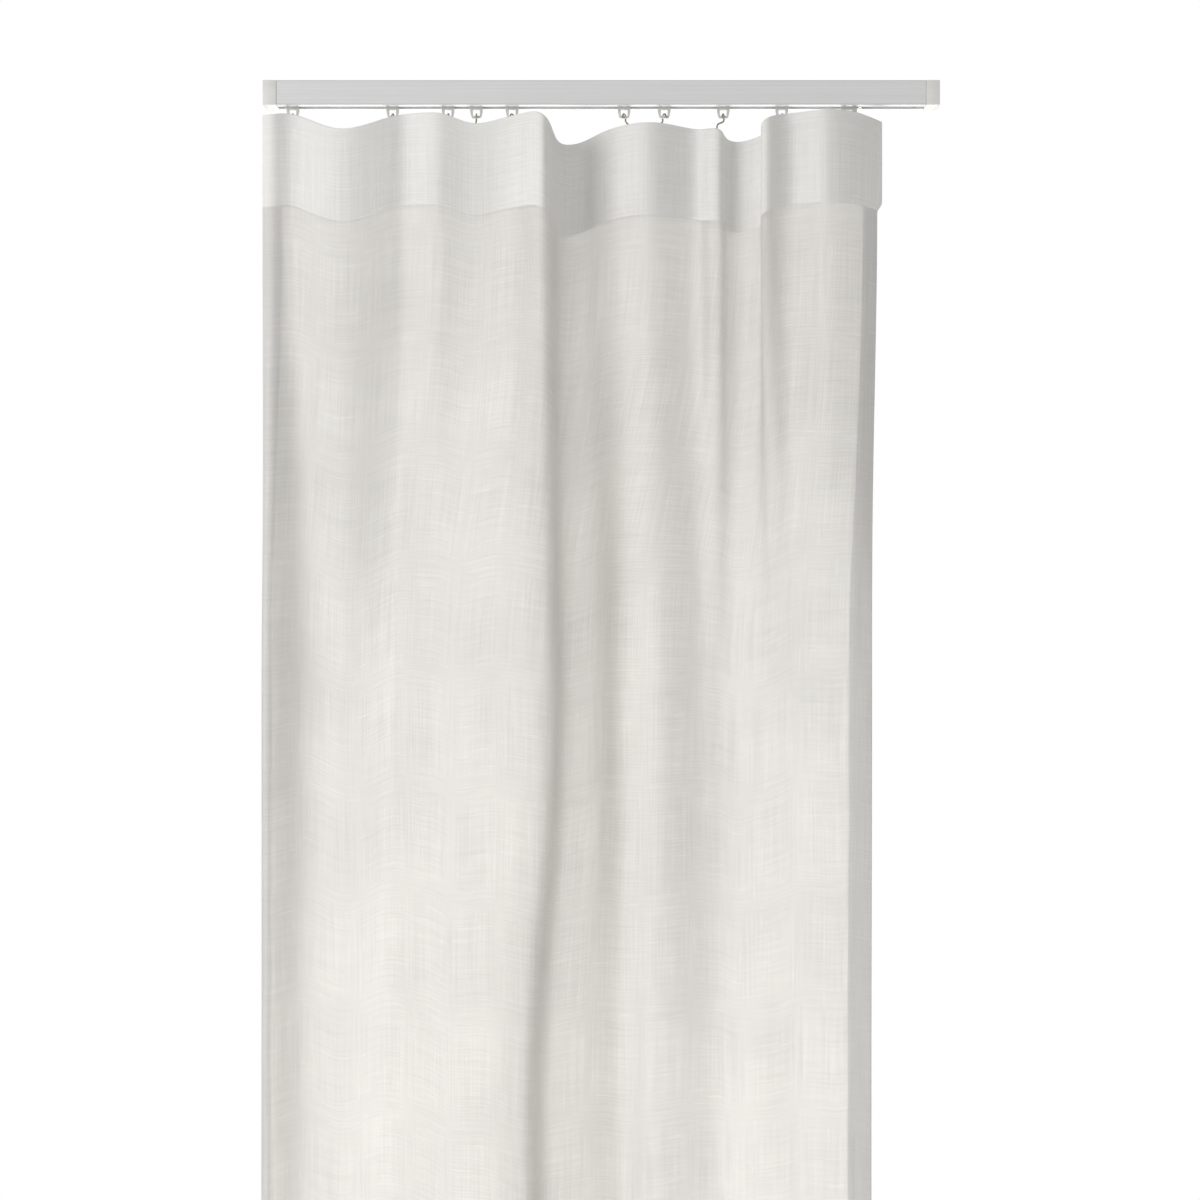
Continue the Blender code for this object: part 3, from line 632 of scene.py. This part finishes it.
hem_top = DROP - BOTTOM_HEM
top_rows = steps_between(0, (HEADING_SEAM - 4 * MM, 17)) + seam_rows(HEADING_SEAM) + [HEADING]
body_rows = steps_between(HEADING, (HEADING + 12 * MM, 5), (0.30, 12), (hem_top, LONG))
foot_rows = [hem_top, *seam_rows(HEM_SEAM)[1:], *steps_between(HEM_SEAM + 3 * MM, (DROP, 6))]
side_rows = [HEADING + GAP, *body_rows[1:-1], hem_top - GAP]
panel_rows = top_rows + body_rows[1:-1] + foot_rows
columns = steps_between(
    0, (SIDE_HEM, HEM_COLUMNS), (FLAT_WIDTH - SIDE_HEM, WIDE), (FLAT_WIDTH, HEM_COLUMNS)
)
left, right = columns[: HEM_COLUMNS + 1], columns[-HEM_COLUMNS - 1 :]
behind = (BAND_FACE, CLOTH, linen)  # where a turned layer starts, its thickness and its finish

panel = layer("linen_panel", columns, panel_rows, -CLOTH / 2, CLOTH, linen, sunk_at_seam)
band = layer("linen_heading_band", columns, top_rows, *behind, raised_at_seam)
hem_left = layer("linen_side_hem_left", left, side_rows, *behind)
hem_right = layer("linen_side_hem_right", right, side_rows, *behind)
hem_foot = layer("linen_bottom_hem", columns, foot_rows, *behind, raised_at_seam)

# %% [markdown]
# ## Geometry Nodes for what follows a path
#
# Folded edges, stitches, cords, woven pockets and wire all follow a line on the cloth. Each such
# line is written once as a chain of points, and a Geometry Nodes tree turns it into the piece. The
# helper below makes a tree with named inputs, runs it on a chain and keeps the plain mesh.


# %% Path and tree helpers
def plain_mesh(made):
    """The mesh that an object's modifiers give. The modifiers are then removed."""
    graph = bpy.context.evaluated_depsgraph_get()
    mesh = bpy.data.meshes.new_from_object(made.evaluated_get(graph))
    made.modifiers.clear()
    return mesh


class Tree(Nodes):
    """A Geometry Nodes tree that takes chains of points, with named inputs for its sizes."""

    kinds = "GeometryNode"

    def __init__(self, name, **sizes):
        self.tree = bpy.data.node_groups.new(name, "GeometryNodeTree")
        self.sizes, self.inputs = sizes, {}
        self.tree.interface.new_socket("Path", in_out="INPUT", socket_type="NodeSocketGeometry")
        for label, value in sizes.items():
            kind = "NodeSocketInt" if isinstance(value, int) else "NodeSocketFloat"
            socket = self.tree.interface.new_socket(label, in_out="INPUT", socket_type=kind)
            socket.default_value = value
            self.inputs[label] = socket.identifier
        self.tree.interface.new_socket("Piece", in_out="OUTPUT", socket_type="NodeSocketGeometry")
        self.given = self.tree.nodes.new("NodeGroupInput").outputs
        self.result = self.tree.nodes.new("NodeGroupOutput").inputs[0]

    def curve(self):
        """The chains of points as curves."""
        return self.node("MeshToCurve", Mesh=self.given["Path"]).outputs[0]

    def ring(self, sides):
        radius = self.given["Radius"]
        return self.node("CurvePrimitiveCircle", Radius=radius, Resolution=sides).outputs[0]

    def swept(self, curve, profile):
        """The profile carried along the curve, with closed ends."""
        made = self.node("CurveToMesh", Curve=curve, Profile_Curve=profile, Fill_Caps=True)
        return made.outputs[0]

    def vector_named(self, label):
        """The attribute of that name on the chains' points."""
        kind = {"data_type": "FLOAT_VECTOR"}
        return self.node("InputNamedAttribute", kind, Name=label).outputs[0]

    def finish(self, geometry, finish, smooth=True):
        real = self.node("RealizeInstances", Geometry=geometry).outputs[0]
        shaded = self.node("SetShadeSmooth", Geometry=real, Shade_Smooth=smooth).outputs[0]
        coated = self.node("SetMaterial", Geometry=shaded, Material=finish).outputs[0]
        self.tree.links.new(coated, self.result)

    def run(self, name, chains, vectors=None):
        """The tree's mesh for one or more chains of points, as a finished object.

        Each of the vectors is an attribute's name with one value for each point."""
        points, edges = [], []
        for chain in chains:
            edges += [(len(points) + i, len(points) + i + 1) for i in range(len(chain) - 1)]
            points += [tuple(place) for place in chain]
        path = bpy.data.meshes.new(name)
        path.from_pydata(points, edges, [])
        for label, values in (vectors or {}).items():
            made = path.attributes.new(label, "FLOAT_VECTOR", "POINT")
            made.data.foreach_set("vector", np.asarray(values, np.float32).ravel())
        holder = placed(name, path)
        modifier = holder.modifiers.new("tree", "NODES")
        modifier.node_group = self.tree
        for label, value in self.sizes.items():
            modifier[self.inputs[label]] = value
        mesh = plain_mesh(holder)
        bpy.data.objects.remove(holder)
        mesh.name = name
        print(name, len(mesh.polygons), "faces")
        return placed(name, mesh)


def across_line(down, behind, start=0.0, end=FLAT_WIDTH, step=2 * MM):
    """A chain of points at one height, from edge to edge."""
    return cloth.row(np.linspace(start, end, round((end - start) / step) + 1), down, behind)[0]


def down_line(across, behind, start, end, step=6 * MM):
    """A chain of points down the sheet, at one place across it."""
    rows = np.linspace(start, end, round((end - start) / step) + 1)
    return np.array([cloth.at(across, down, behind)[0] for down in rows])


# %% [markdown]
# ## Folded edges
#
# Where cloth is turned over, its edge is round and a little fuller than the cloth. A round bead
# along the top, the two sides and the foot closes the gap between the panel and the layer behind it.
# It is as thick as both layers together, and it carries the same UV map, so the weave goes round it.

# %% Beads along the folds
FOLD_RADIUS = CLOTH + GAP / 2 - 0.03 * MM
FOLD_MIDDLE = CLOTH / 2 + GAP / 2

fold_tree = Tree("folded_edge", Radius=FOLD_RADIUS)
fold_uv = fold_tree.node(
    "StoreNamedAttribute",
    {"data_type": "FLOAT2", "domain": "CORNER"},
    Geometry=fold_tree.swept(fold_tree.curve(), fold_tree.ring(8)),
    Name="weave",
    Value=fold_tree.vector_named("on_sheet"),
)
fold_tree.finish(fold_uv.outputs[0], linen)

side_steps = steps_between(0, (HEADING, 24), (HEADING + 14 * MM, 8), (DROP, 260))
wide_steps = np.linspace(0, FLAT_WIDTH, 340)
edges, on_sheet = [], []
for across in (0.0, FLAT_WIDTH):
    edges.append([cloth.at(across, down, FOLD_MIDDLE)[0] for down in side_steps])
    on_sheet += [(across, -down, 0) for down in side_steps]
for down in (0.0, DROP):
    edges.append(cloth.row(wide_steps, down, FOLD_MIDDLE)[0])
    on_sheet += [(across, -down, 0) for across in wide_steps]
folds = fold_tree.run("linen_folded_edges", edges, {"on_sheet": on_sheet})

# %% [markdown]
# ## Stitches
#
# A lockstitch shows as a row of short dashes of thread with a tiny gap between them. One dash is a
# small bar with pointed ends, and the tree sets it at even steps along the seam and turns it to
# follow the seam. The seams show on both faces of the cloth.

# %% Stitches along the seams
thread_finish = Finish("sewing_thread")
fuzz = thread_finish.noise(thread_finish.scaled(thread_finish.coordinates(), (900, 900, 900)), 1.0)
thread_tone = thread_finish.mixed(fuzz, opaque(0.74, 0.73, 0.70), opaque(0.88, 0.87, 0.85))
thread_finish.set(Base_Color=thread_tone, Roughness=0.6, Sheen_Weight=0.2)
thread_finish.bump(fuzz, 0.1 * MM, 0.4)

stitch_tree = Tree("stitch_row", Pitch=3.2 * MM, Length=2.5 * MM, Radius=0.2 * MM)
stitch_given = stitch_tree.given
seam_points = stitch_tree.node(
    "CurveToPoints", {"mode": "LENGTH"}, Curve=stitch_tree.curve(), Length=stitch_given["Pitch"]
)
stitch_bar = stitch_tree.node("MeshUVSphere", Segments=5, Rings=4, Radius=1.0)
stitch_half = stitch_tree.times(stitch_given["Length"], 0.5)
stitch_size = stitch_tree.node(
    "ShaderNodeCombineXYZ", X=stitch_given["Radius"], Y=stitch_given["Radius"], Z=stitch_half
)
stitch_copies = stitch_tree.node(
    "InstanceOnPoints",
    Points=seam_points.outputs["Points"],
    Instance=stitch_bar.outputs["Mesh"],
    Rotation=seam_points.outputs["Rotation"],
    Scale=stitch_size.outputs[0],
)
stitch_tree.finish(stitch_copies.outputs[0], thread_finish.material)

PROUD = 0.02 * MM  # how far the thread's middle stands off the cloth
FRONT_FACE = -CLOTH / 2 - PROUD
BACK_FACE = BAND_FACE + CLOTH + PROUD
seams = [
    across_line(seam, face, SEAM_INSET, FLAT_WIDTH - SEAM_INSET)
    for seam in (HEADING_SEAM, HEM_SEAM)
    for face in (FRONT_FACE + SEAM_DENT, BACK_FACE - SEAM_DENT)
]
for across in (SIDE_HEM - SEAM_INSET, FLAT_WIDTH - SIDE_HEM + SEAM_INSET):
    for face in (FRONT_FACE, BACK_FACE):
        seams.append(down_line(across, face, HEADING + 2 * MM, DROP - BOTTOM_HEM))
stitches = stitch_tree.run("linen_stitches", seams)

# %% [markdown]
# ## The heading tape
#
# A cotton tape is sewn along the back of the heading. It is woven with a ribbed face and a row of
# little loops, called pockets, that take the hooks. Two draw cords lie in it, and pulling them
# gathers the curtain. The tape is one more layer of the hung sheet, and its ribs come from the
# finish. Geometry Nodes set the pockets on it: each is a flat band that is bent into an arch, full
# where a hook sits in it and nearly flat elsewhere.


# %% Cotton finish
def cotton_finish(name, uv_name, rib, tint):
    """A ribbed cotton weave: rib is the distance between ribs. Without a UV map, metres count."""
    made = Finish(name)
    if uv_name:
        place = made.node("UVMap", {"uv_map": uv_name}).outputs["UV"]
    else:
        place = made.coordinates()
    split = made.node("SeparateXYZ", Vector=place)
    ribs = made.maths("SINE", made.times(split.outputs["X"], 2 * math.pi / rib))
    picks = made.maths("SINE", made.times(split.outputs["Y"], 2 * math.pi / (0.6 * rib)))
    yarn = made.noise(made.scaled(place, (1 / rib, 1 / rib, 1 / rib)), 1.0, 3.0)
    relief = made.plus(made.times(ribs, 0.5), made.times(picks, 0.25))
    relief = made.plus(relief, made.times(yarn, 0.8))
    tone = made.ranged(relief, -0.6, 1.3, 0.0, 1.0)
    dark = tuple(channel * 0.86 for channel in tint)
    made.set(Base_Color=made.mixed(tone, opaque(*dark), opaque(*tint)), Roughness=0.88)
    made.set(Sheen_Weight=0.2, Sheen_Roughness=0.4, Specular_IOR_Level=0.2)
    made.bump(relief, 0.18 * MM, 0.6)
    return made.material


tape_cotton = cotton_finish("tape_cotton_ribs", "weave", 1.2 * MM, (0.86, 0.855, 0.83))
pocket_cotton = cotton_finish("tape_pocket_cotton", None, 0.8 * MM, (0.88, 0.875, 0.85))
print("cotton nodes:", len(tape_cotton.node_tree.nodes))

# %% Tape
TAPE_DOWN, TAPE_HEIGHT = 6 * MM, 50 * MM
TAPE_FACE = TAPE_BACK - TAPE
SELVEDGE = 0.25 * MM  # the tape's woven edges stand up by this much


def raised_selvedge(down):
    near = min(down - TAPE_DOWN, TAPE_DOWN + TAPE_HEIGHT - down)
    return SELVEDGE * max(0.0, 1 - near / (1.6 * MM))


tape_rows = [TAPE_DOWN + d * MM for d in (0, 0.8, 1.6, 10, 18, 26, 34, 42, 48.4, 49.2, 50)]
tape_columns = steps_between(SIDE_HEM, (FLAT_WIDTH - SIDE_HEM, WIDE))
woven = (TAPE_FACE, TAPE, tape_cotton, raised_selvedge)
tape = layer("woven_heading_tape", tape_columns, tape_rows, *woven)

# %% Pockets on the tape
HOLDS = (0.046, 0.208, 0.298, 0.344, 0.402, 0.584, 0.649, 0.730, 0.840, 0.949)
HOOK_LENGTH, BEND_RADIUS, PRONG_LENGTH = 30 * MM, 2.5 * MM, 13 * MM
POCKET_WIDTH, POCKET_HEIGHT, POCKET_BAND = 5 * MM, 9 * MM, 0.55 * MM
POCKET_Z = BAR_Z - HOOK_LENGTH + POCKET_HEIGHT / 2 + BEND_RADIUS
PRONG_BEHIND = TAPE_BACK + 0.4 * MM + WIRE / 2 + GAP  # the prong's middle line
POCKET_STEP = 19 * MM
SPARE_DOWN = 22 * MM  # from the top edge to the middle of a pocket that holds no hook
held = [cloth.held_at(share) for share in HOLDS]

pocket_tree = Tree("tape_pockets", Width=POCKET_WIDTH, Height=POCKET_HEIGHT, Band=POCKET_BAND)
pocket_given = pocket_tree.given
arch_radius = pocket_tree.times(pocket_given["Width"], 0.42)  # to the band's middle
arch = pocket_tree.node(
    "CurveArc", {"mode": "RADIUS"}, Resolution=9, Radius=arch_radius, Sweep_Angle=math.pi
)
band_profile = pocket_tree.node(
    "CurvePrimitiveQuadrilateral", Width=pocket_given["Band"], Height=pocket_given["Height"]
)
pocket_copies = pocket_tree.node(
    "InstanceOnPoints",
    Points=pocket_given["Path"],
    Instance=pocket_tree.swept(arch.outputs[0], band_profile.outputs[0]),
    Rotation=pocket_tree.vector_named("turn"),
    Scale=pocket_tree.vector_named("swell"),
)
pocket_tree.finish(pocket_copies.outputs[0], pocket_cotton, smooth=False)

FULL, FLAT = 1.42, 0.42  # how far an arch stands out, for its width
spare = np.arange(SIDE_HEM + 9 * MM, FLAT_WIDTH - SIDE_HEM, POCKET_STEP)
spare = [s for s in spare if min(abs(s - place) for place in held) > 0.4 * POCKET_STEP]


def pocket_row(name, places, swell, height=None):
    """Pockets at these places across the sheet, at one height or level with the top edge."""
    points, turns = [], []
    for across in places:
        place, back = cloth.at(across, SPARE_DOWN, TAPE_BACK - 0.1 * MM)
        place.z = height or place.z
        points.append([place])
        turns.append((0, 0, math.atan2(-back.x, back.y)))
    swells = [(1, swell, 1)] * len(points)
    return pocket_tree.run(name, points, {"turn": turns, "swell": swells})


spare_pockets = pocket_row("tape_pockets_spare", spare, FLAT)
full_pockets = {
    f"hook_{number}": pocket_row(f"tape_pocket_{number}", [place], FULL, POCKET_Z)
    for number, place in enumerate(held, 1)
}

# %% [markdown]
# ## The draw cords
#
# A draw cord is twisted from a few strands. A blunt star with four points, swept along the cord and
# turned as it goes, gives the strands' spiral.

# %% Draw cords
CORD = 1.4 * MM
CORD_BEHIND = TAPE_BACK + GAP + CORD / 2
cord_cotton = cotton_finish("draw_cord_cotton", None, 0.5 * MM, (0.9, 0.895, 0.87))

cord_tree = Tree("twisted_cord", Radius=CORD / 2, Lay=5.0 * MM)
cord_radius = cord_tree.given["Radius"]
cord_even = cord_tree.node(
    "ResampleCurve", {"mode": "LENGTH"}, Curve=cord_tree.curve(), Length=0.8 * MM
)
cord_along = cord_tree.node("SplineParameter").outputs["Length"]
cord_turns = cord_tree.maths("DIVIDE", cord_along, cord_tree.given["Lay"])
cord_tilt = cord_tree.times(cord_turns, 2 * math.pi)
cord_twist = cord_tree.node("SetCurveTilt", Curve=cord_even.outputs[0], Tilt=cord_tilt)
cord_inner = cord_tree.times(cord_radius, 0.78)
cord_star = cord_tree.node("CurveStar", Points=4, Inner_Radius=cord_inner, Outer_Radius=cord_radius)
cord_tree.finish(cord_tree.swept(cord_twist.outputs[0], cord_star.outputs[0]), cord_cotton)

tape_foot = TAPE_DOWN + TAPE_HEIGHT
cords = {}
for name, down in (("upper", tape_foot - 12 * MM), ("lower", tape_foot - 5 * MM)):
    line = across_line(down, CORD_BEHIND, SIDE_HEM, FLAT_WIDTH - SIDE_HEM, 3 * MM)
    cords[f"gather_cord_{name}"] = cord_tree.run(f"draw_cord_{name}", [line])

# %% [markdown]
# ## Wire hooks
#
# Each hook is one bent wire: a prong that slips up into a pocket, a bend, a stem that stands upright
# and then leans to its glider, and a loop over the bar under the glider's eye. The same few numbers
# that place the pockets give its path. The tree sweeps a circle along the path and closes its ends.

# %% Hook finish
bronze = Finish("hook_steel_bronzed")
metal_place = bronze.coordinates()
drawn = bronze.noise(bronze.scaled(metal_place, (700, 700, 120)), 1.0, 3.0)
tarnish = bronze.ranged(bronze.noise(metal_place, 260.0, 3.0), 0.35, 0.7)
bronze_tone = bronze.mixed(tarnish, opaque(0.23, 0.21, 0.19), opaque(0.42, 0.38, 0.33))
bronze_gloss = bronze.ranged(drawn, 0.3, 0.7, 0.2, 0.36)
bronze.set(Base_Color=bronze_tone, Metallic=1.0, Roughness=bronze_gloss)
bronze.bump(drawn, 0.05 * MM, 0.3)
print("hook finish nodes:", len(bronze.tree.nodes))

# %% Hooks
KNEE_DOWN = 10 * MM  # below the bar, where the stem starts to lean
MOST_HOOK_TURN = math.radians(28)
LOOP_START, LOOP_TURN = math.radians(-25), math.radians(235)

wire_tree = Tree("bent_wire", Radius=WIRE / 2)
wire_tree.finish(wire_tree.swept(wire_tree.curve(), wire_tree.ring(12)), bronze.material)


def hook_path(number):
    """The wire's middle line, from the prong's tip round to the loop's open end."""
    holder = "end_stop" if number == 10 else f"glider_{number}"
    low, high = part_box(holder)
    bar = Vector(((low.x + high.x) / 2, 0, BAR_Z))
    foot, back = cloth.at(held[number - 1], HEADING, PRONG_BEHIND)
    prong = Vector((foot.x, foot.y, BAR_Z - HOOK_LENGTH + BEND_RADIUS))
    turn = min(max(math.atan2(-back.x, back.y), -MOST_HOOK_TURN), MOST_HOOK_TURN)
    out, up = Vector((-math.sin(turn), math.cos(turn), 0)), Vector((0, 0, 1))
    path = [prong + up * (PRONG_LENGTH * share) for share in (1, 0.75, 0.5, 0.25)]
    middle = prong + out * BEND_RADIUS
    for angle in np.linspace(math.pi, 2 * math.pi, 13):
        path.append(middle + (out * math.cos(angle) + up * math.sin(angle)) * BEND_RADIUS)
    knee = prong + out * 2 * BEND_RADIUS
    knee.z = BAR_Z - KNEE_DOWN
    loop = [
        bar + (out * math.cos(angle) + up * math.sin(angle)) * LOOP_RADIUS
        for angle in np.linspace(LOOP_START, LOOP_START + LOOP_TURN, 21)
    ]
    path += [path[-1].lerp(knee, share) for share in (0.35, 0.7)]
    leaving, arriving = Vector((0, 0, 1)), (loop[1] - loop[0]).normalized()
    reach = (loop[0] - knee).length * 0.5
    for share in np.linspace(0, 1, 9)[:-1]:
        rest = 1 - share
        path.append(
            knee * rest**3
            + (knee + leaving * reach) * 3 * rest**2 * share
            + (loop[0] - arriving * reach) * 3 * rest * share**2
            + loop[0] * share**3
        )
    return path + loop


hooks = {}
for number in range(1, 11):
    hooks[f"hook_{number}"] = wire_tree.run(f"wire_hook_{number}", [hook_path(number)])

# %% [markdown]
# ## The track and its plastic fittings
#
# The track is drawn aluminium with a pale lacquer, and its caps, gliders and end stop are moulded.
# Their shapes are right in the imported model, but a moulding never has sharp edges. So a copy of each
# is merged, its flat faces are joined again, and a Bevel modifier rounds its edges. The gliders are
# milky nylon that lets a little light in, so they get some subsurface scattering.


# %% Finishes for the hardware
def moulded_finish(name, tint, roughness, grain=1400.0, **settings):
    """Moulded plastic: a fine grain, faint flow marks and slightly uneven gloss."""
    made = Finish(name)
    place = made.coordinates()
    fine = made.noise(place, grain, 2.0)
    flow = made.noise(made.scaled(place, (60, 60, 180)), 1.0, 3.0)
    pale = tuple(min(channel * 1.05, 1) for channel in tint)
    dark = tuple(channel * 0.93 for channel in tint)
    made.set(Base_Color=made.mixed(flow, opaque(*dark), opaque(*pale)))
    gloss = made.ranged(fine, 0.3, 0.7, roughness - 0.06, roughness + 0.08)
    made.set(Roughness=gloss, **settings)
    made.bump(fine, 0.04 * MM, 0.25)
    return made.material


def lacquer_finish(name):
    """Pale lacquer over drawn aluminium, with painted shade at its edges and painted light inside."""
    made = Finish(name)
    place = made.coordinates()
    split = made.node("SeparateXYZ", Vector=place)
    lines = made.noise(made.scaled(place, (5, 1500, 1500)), 1.0, 3.0)
    drawn_lines = made.ranged(lines, 0.3, 0.7)
    specks = made.ranged(made.noise(place, 900.0, 1.0), 0.72, 0.8)
    half = (rail_high.z - rail_low.z) / 2
    height = made.maths("ABSOLUTE", made.plus(split.outputs["Z"], half))
    # Painted shade: the lacquer is made darker near the rail's top and bottom edges.
    edge = made.ranged(height, half - 2.2 * MM, half - 0.6 * MM)
    tone = made.mixed(drawn_lines, opaque(0.60, 0.60, 0.605), opaque(0.66, 0.66, 0.665))
    tone = made.mixed(made.times(edge, 0.35), tone, opaque(0.42, 0.42, 0.43))
    tone = made.mixed(made.times(specks, 0.25), tone, opaque(0.5, 0.5, 0.5))
    # Painted light: inside the channel, above the lips, the lacquer is made much paler, so its shaded
    # inside looks lit.
    depth = made.maths("ABSOLUTE", split.outputs["Y"])
    inside = made.maths("LESS_THAN", depth, rail_high.y - 1.2 * MM)
    above_lips = made.maths("GREATER_THAN", split.outputs["Z"], rail_low.z + 0.8 * MM)
    channel = made.times(inside, above_lips)
    tone = made.mixed(channel, tone, opaque(0.9, 0.9, 0.9))
    made.set(Base_Color=tone, Roughness=made.ranged(lines, 0.3, 0.7, 0.36, 0.5))
    made.set(Coat_Weight=0.25, Coat_Roughness=0.3)
    made.bump(lines, 0.03 * MM, 0.3)
    return made.material


lacquer = lacquer_finish("rail_lacquer_drawn")
cap_finish = moulded_finish("cap_plastic_moulded", (0.66, 0.65, 0.63), 0.5)
milky = {"Subsurface_Weight": 0.15, "Subsurface_Scale": 2 * MM}
nylon = moulded_finish("glider_nylon", (0.54, 0.56, 0.52), 0.38, **milky)
stop_finish = moulded_finish("stop_plastic_moulded", (0.5, 0.5, 0.48), 0.45)
print("hardware finishes made")


# %% Rounded copies of the mouldings
def rounded_copy(node, name, width, finish):
    """The CAD node's shape with its flat faces joined again and its edges rounded."""
    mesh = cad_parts[node].data.copy()
    mesh.name = name
    shape = bmesh.new()
    shape.from_mesh(mesh)
    bmesh.ops.remove_doubles(shape, verts=shape.verts, dist=0.002 * MM)
    bmesh.ops.dissolve_limit(
        shape, angle_limit=math.radians(1), verts=shape.verts, edges=shape.edges, delimit={"NORMAL"}
    )
    shape.to_mesh(mesh)
    shape.free()
    mesh.materials.clear()
    mesh.materials.append(finish)
    made = placed(name, mesh)
    edge = made.modifiers.new("rounding", "BEVEL")
    edge.width, edge.segments = width, 3
    edge.limit_method, edge.angle_limit = "ANGLE", math.radians(35)
    made.data = plain_mesh(made)
    made.data.shade_smooth()
    made.data.set_sharp_from_angle(angle=math.radians(40))
    print(name, len(made.data.polygons), "faces")
    return made


CAP_ROUND, TAB_ROUND, SCREW_ROUND = 0.25 * MM, 0.35 * MM, 0.15 * MM
copies = [
    ("end_cap_left", "moulded_cap_left", CAP_ROUND, cap_finish),
    ("end_cap_right", "moulded_cap_right", CAP_ROUND, cap_finish),
    ("end_stop", "moulded_end_stop", TAB_ROUND, stop_finish),
    ("end_stop_screw", "stop_screw", SCREW_ROUND, bronze.material),
    *((name, f"moulded_{name}", TAB_ROUND, nylon) for name in GLIDERS),
]
mouldings = {copy[0]: rounded_copy(*copy) for copy in copies}

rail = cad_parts["track_rail"]
rail.data.materials.clear()
rail.data.materials.append(lacquer)

# %% [markdown]
# ## The floor
#
# A plain pale floor lies just under the hem, so that the curtain stands clear of it by the width of
# a finger, as a curtain should.

# %% Floor
floor_mesh = bpy.data.meshes.new("studio_floor")
FLOOR_Z = cad_box[0].z - 18 * MM
floor_corners = [(-4.5, -4.0), (4.5, -4.0), (4.5, 3.6), (-4.5, 3.6)]
floor_mesh.from_pydata([(x, y, FLOOR_Z) for x, y in floor_corners], [], [(0, 1, 2, 3)])
floor = placed("studio_floor", floor_mesh)
pale = Finish("pale_floor")
pale.set(Base_Color=opaque(0.86, 0.86, 0.86), Roughness=0.7)
floor_mesh.materials.append(pale.material)
print("floor at", round(FLOOR_Z, 4))

# %% [markdown]
# ## Which body each piece rides on
#
# Every piece moves with the hard part that carries it. The cloth, its tape and its stitches ride on
# the panel. When the curtain is drawn open, the gliders close up towards the end stop, and the cloth
# between them packs together. A pocket that holds a prong rides on its hook, because it can't get
# narrower than the wire in it.

# %% Rides
soft = {
    panel: ("linen", ["curtain_panel"]),
    band: ("linen", ["heading_band"]),
    hem_left: ("linen", ["side_hem_left"]),
    hem_right: ("linen", ["side_hem_right"]),
    hem_foot: ("linen", ["bottom_hem"]),
    folds: ("linen", []),
    stitches: ("linen", []),
    tape: ("tape_cotton", ["heading_tape"]),
    spare_pockets: ("tape_cotton", []),
    cords["gather_cord_upper"]: ("tape_cotton", ["gather_cord_upper"]),
    cords["gather_cord_lower"]: ("tape_cotton", ["gather_cord_lower"]),
}
for piece, (slot, nodes) in soft.items():
    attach(piece, "panel")
    if nodes:
        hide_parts(*nodes)
    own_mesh(piece)
for node, piece in hooks.items():
    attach(piece, node)
    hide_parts(node)
    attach(full_pockets[node], node)
for node, piece in mouldings.items():
    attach(piece, node if node in GLIDERS else "track")
    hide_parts(node)
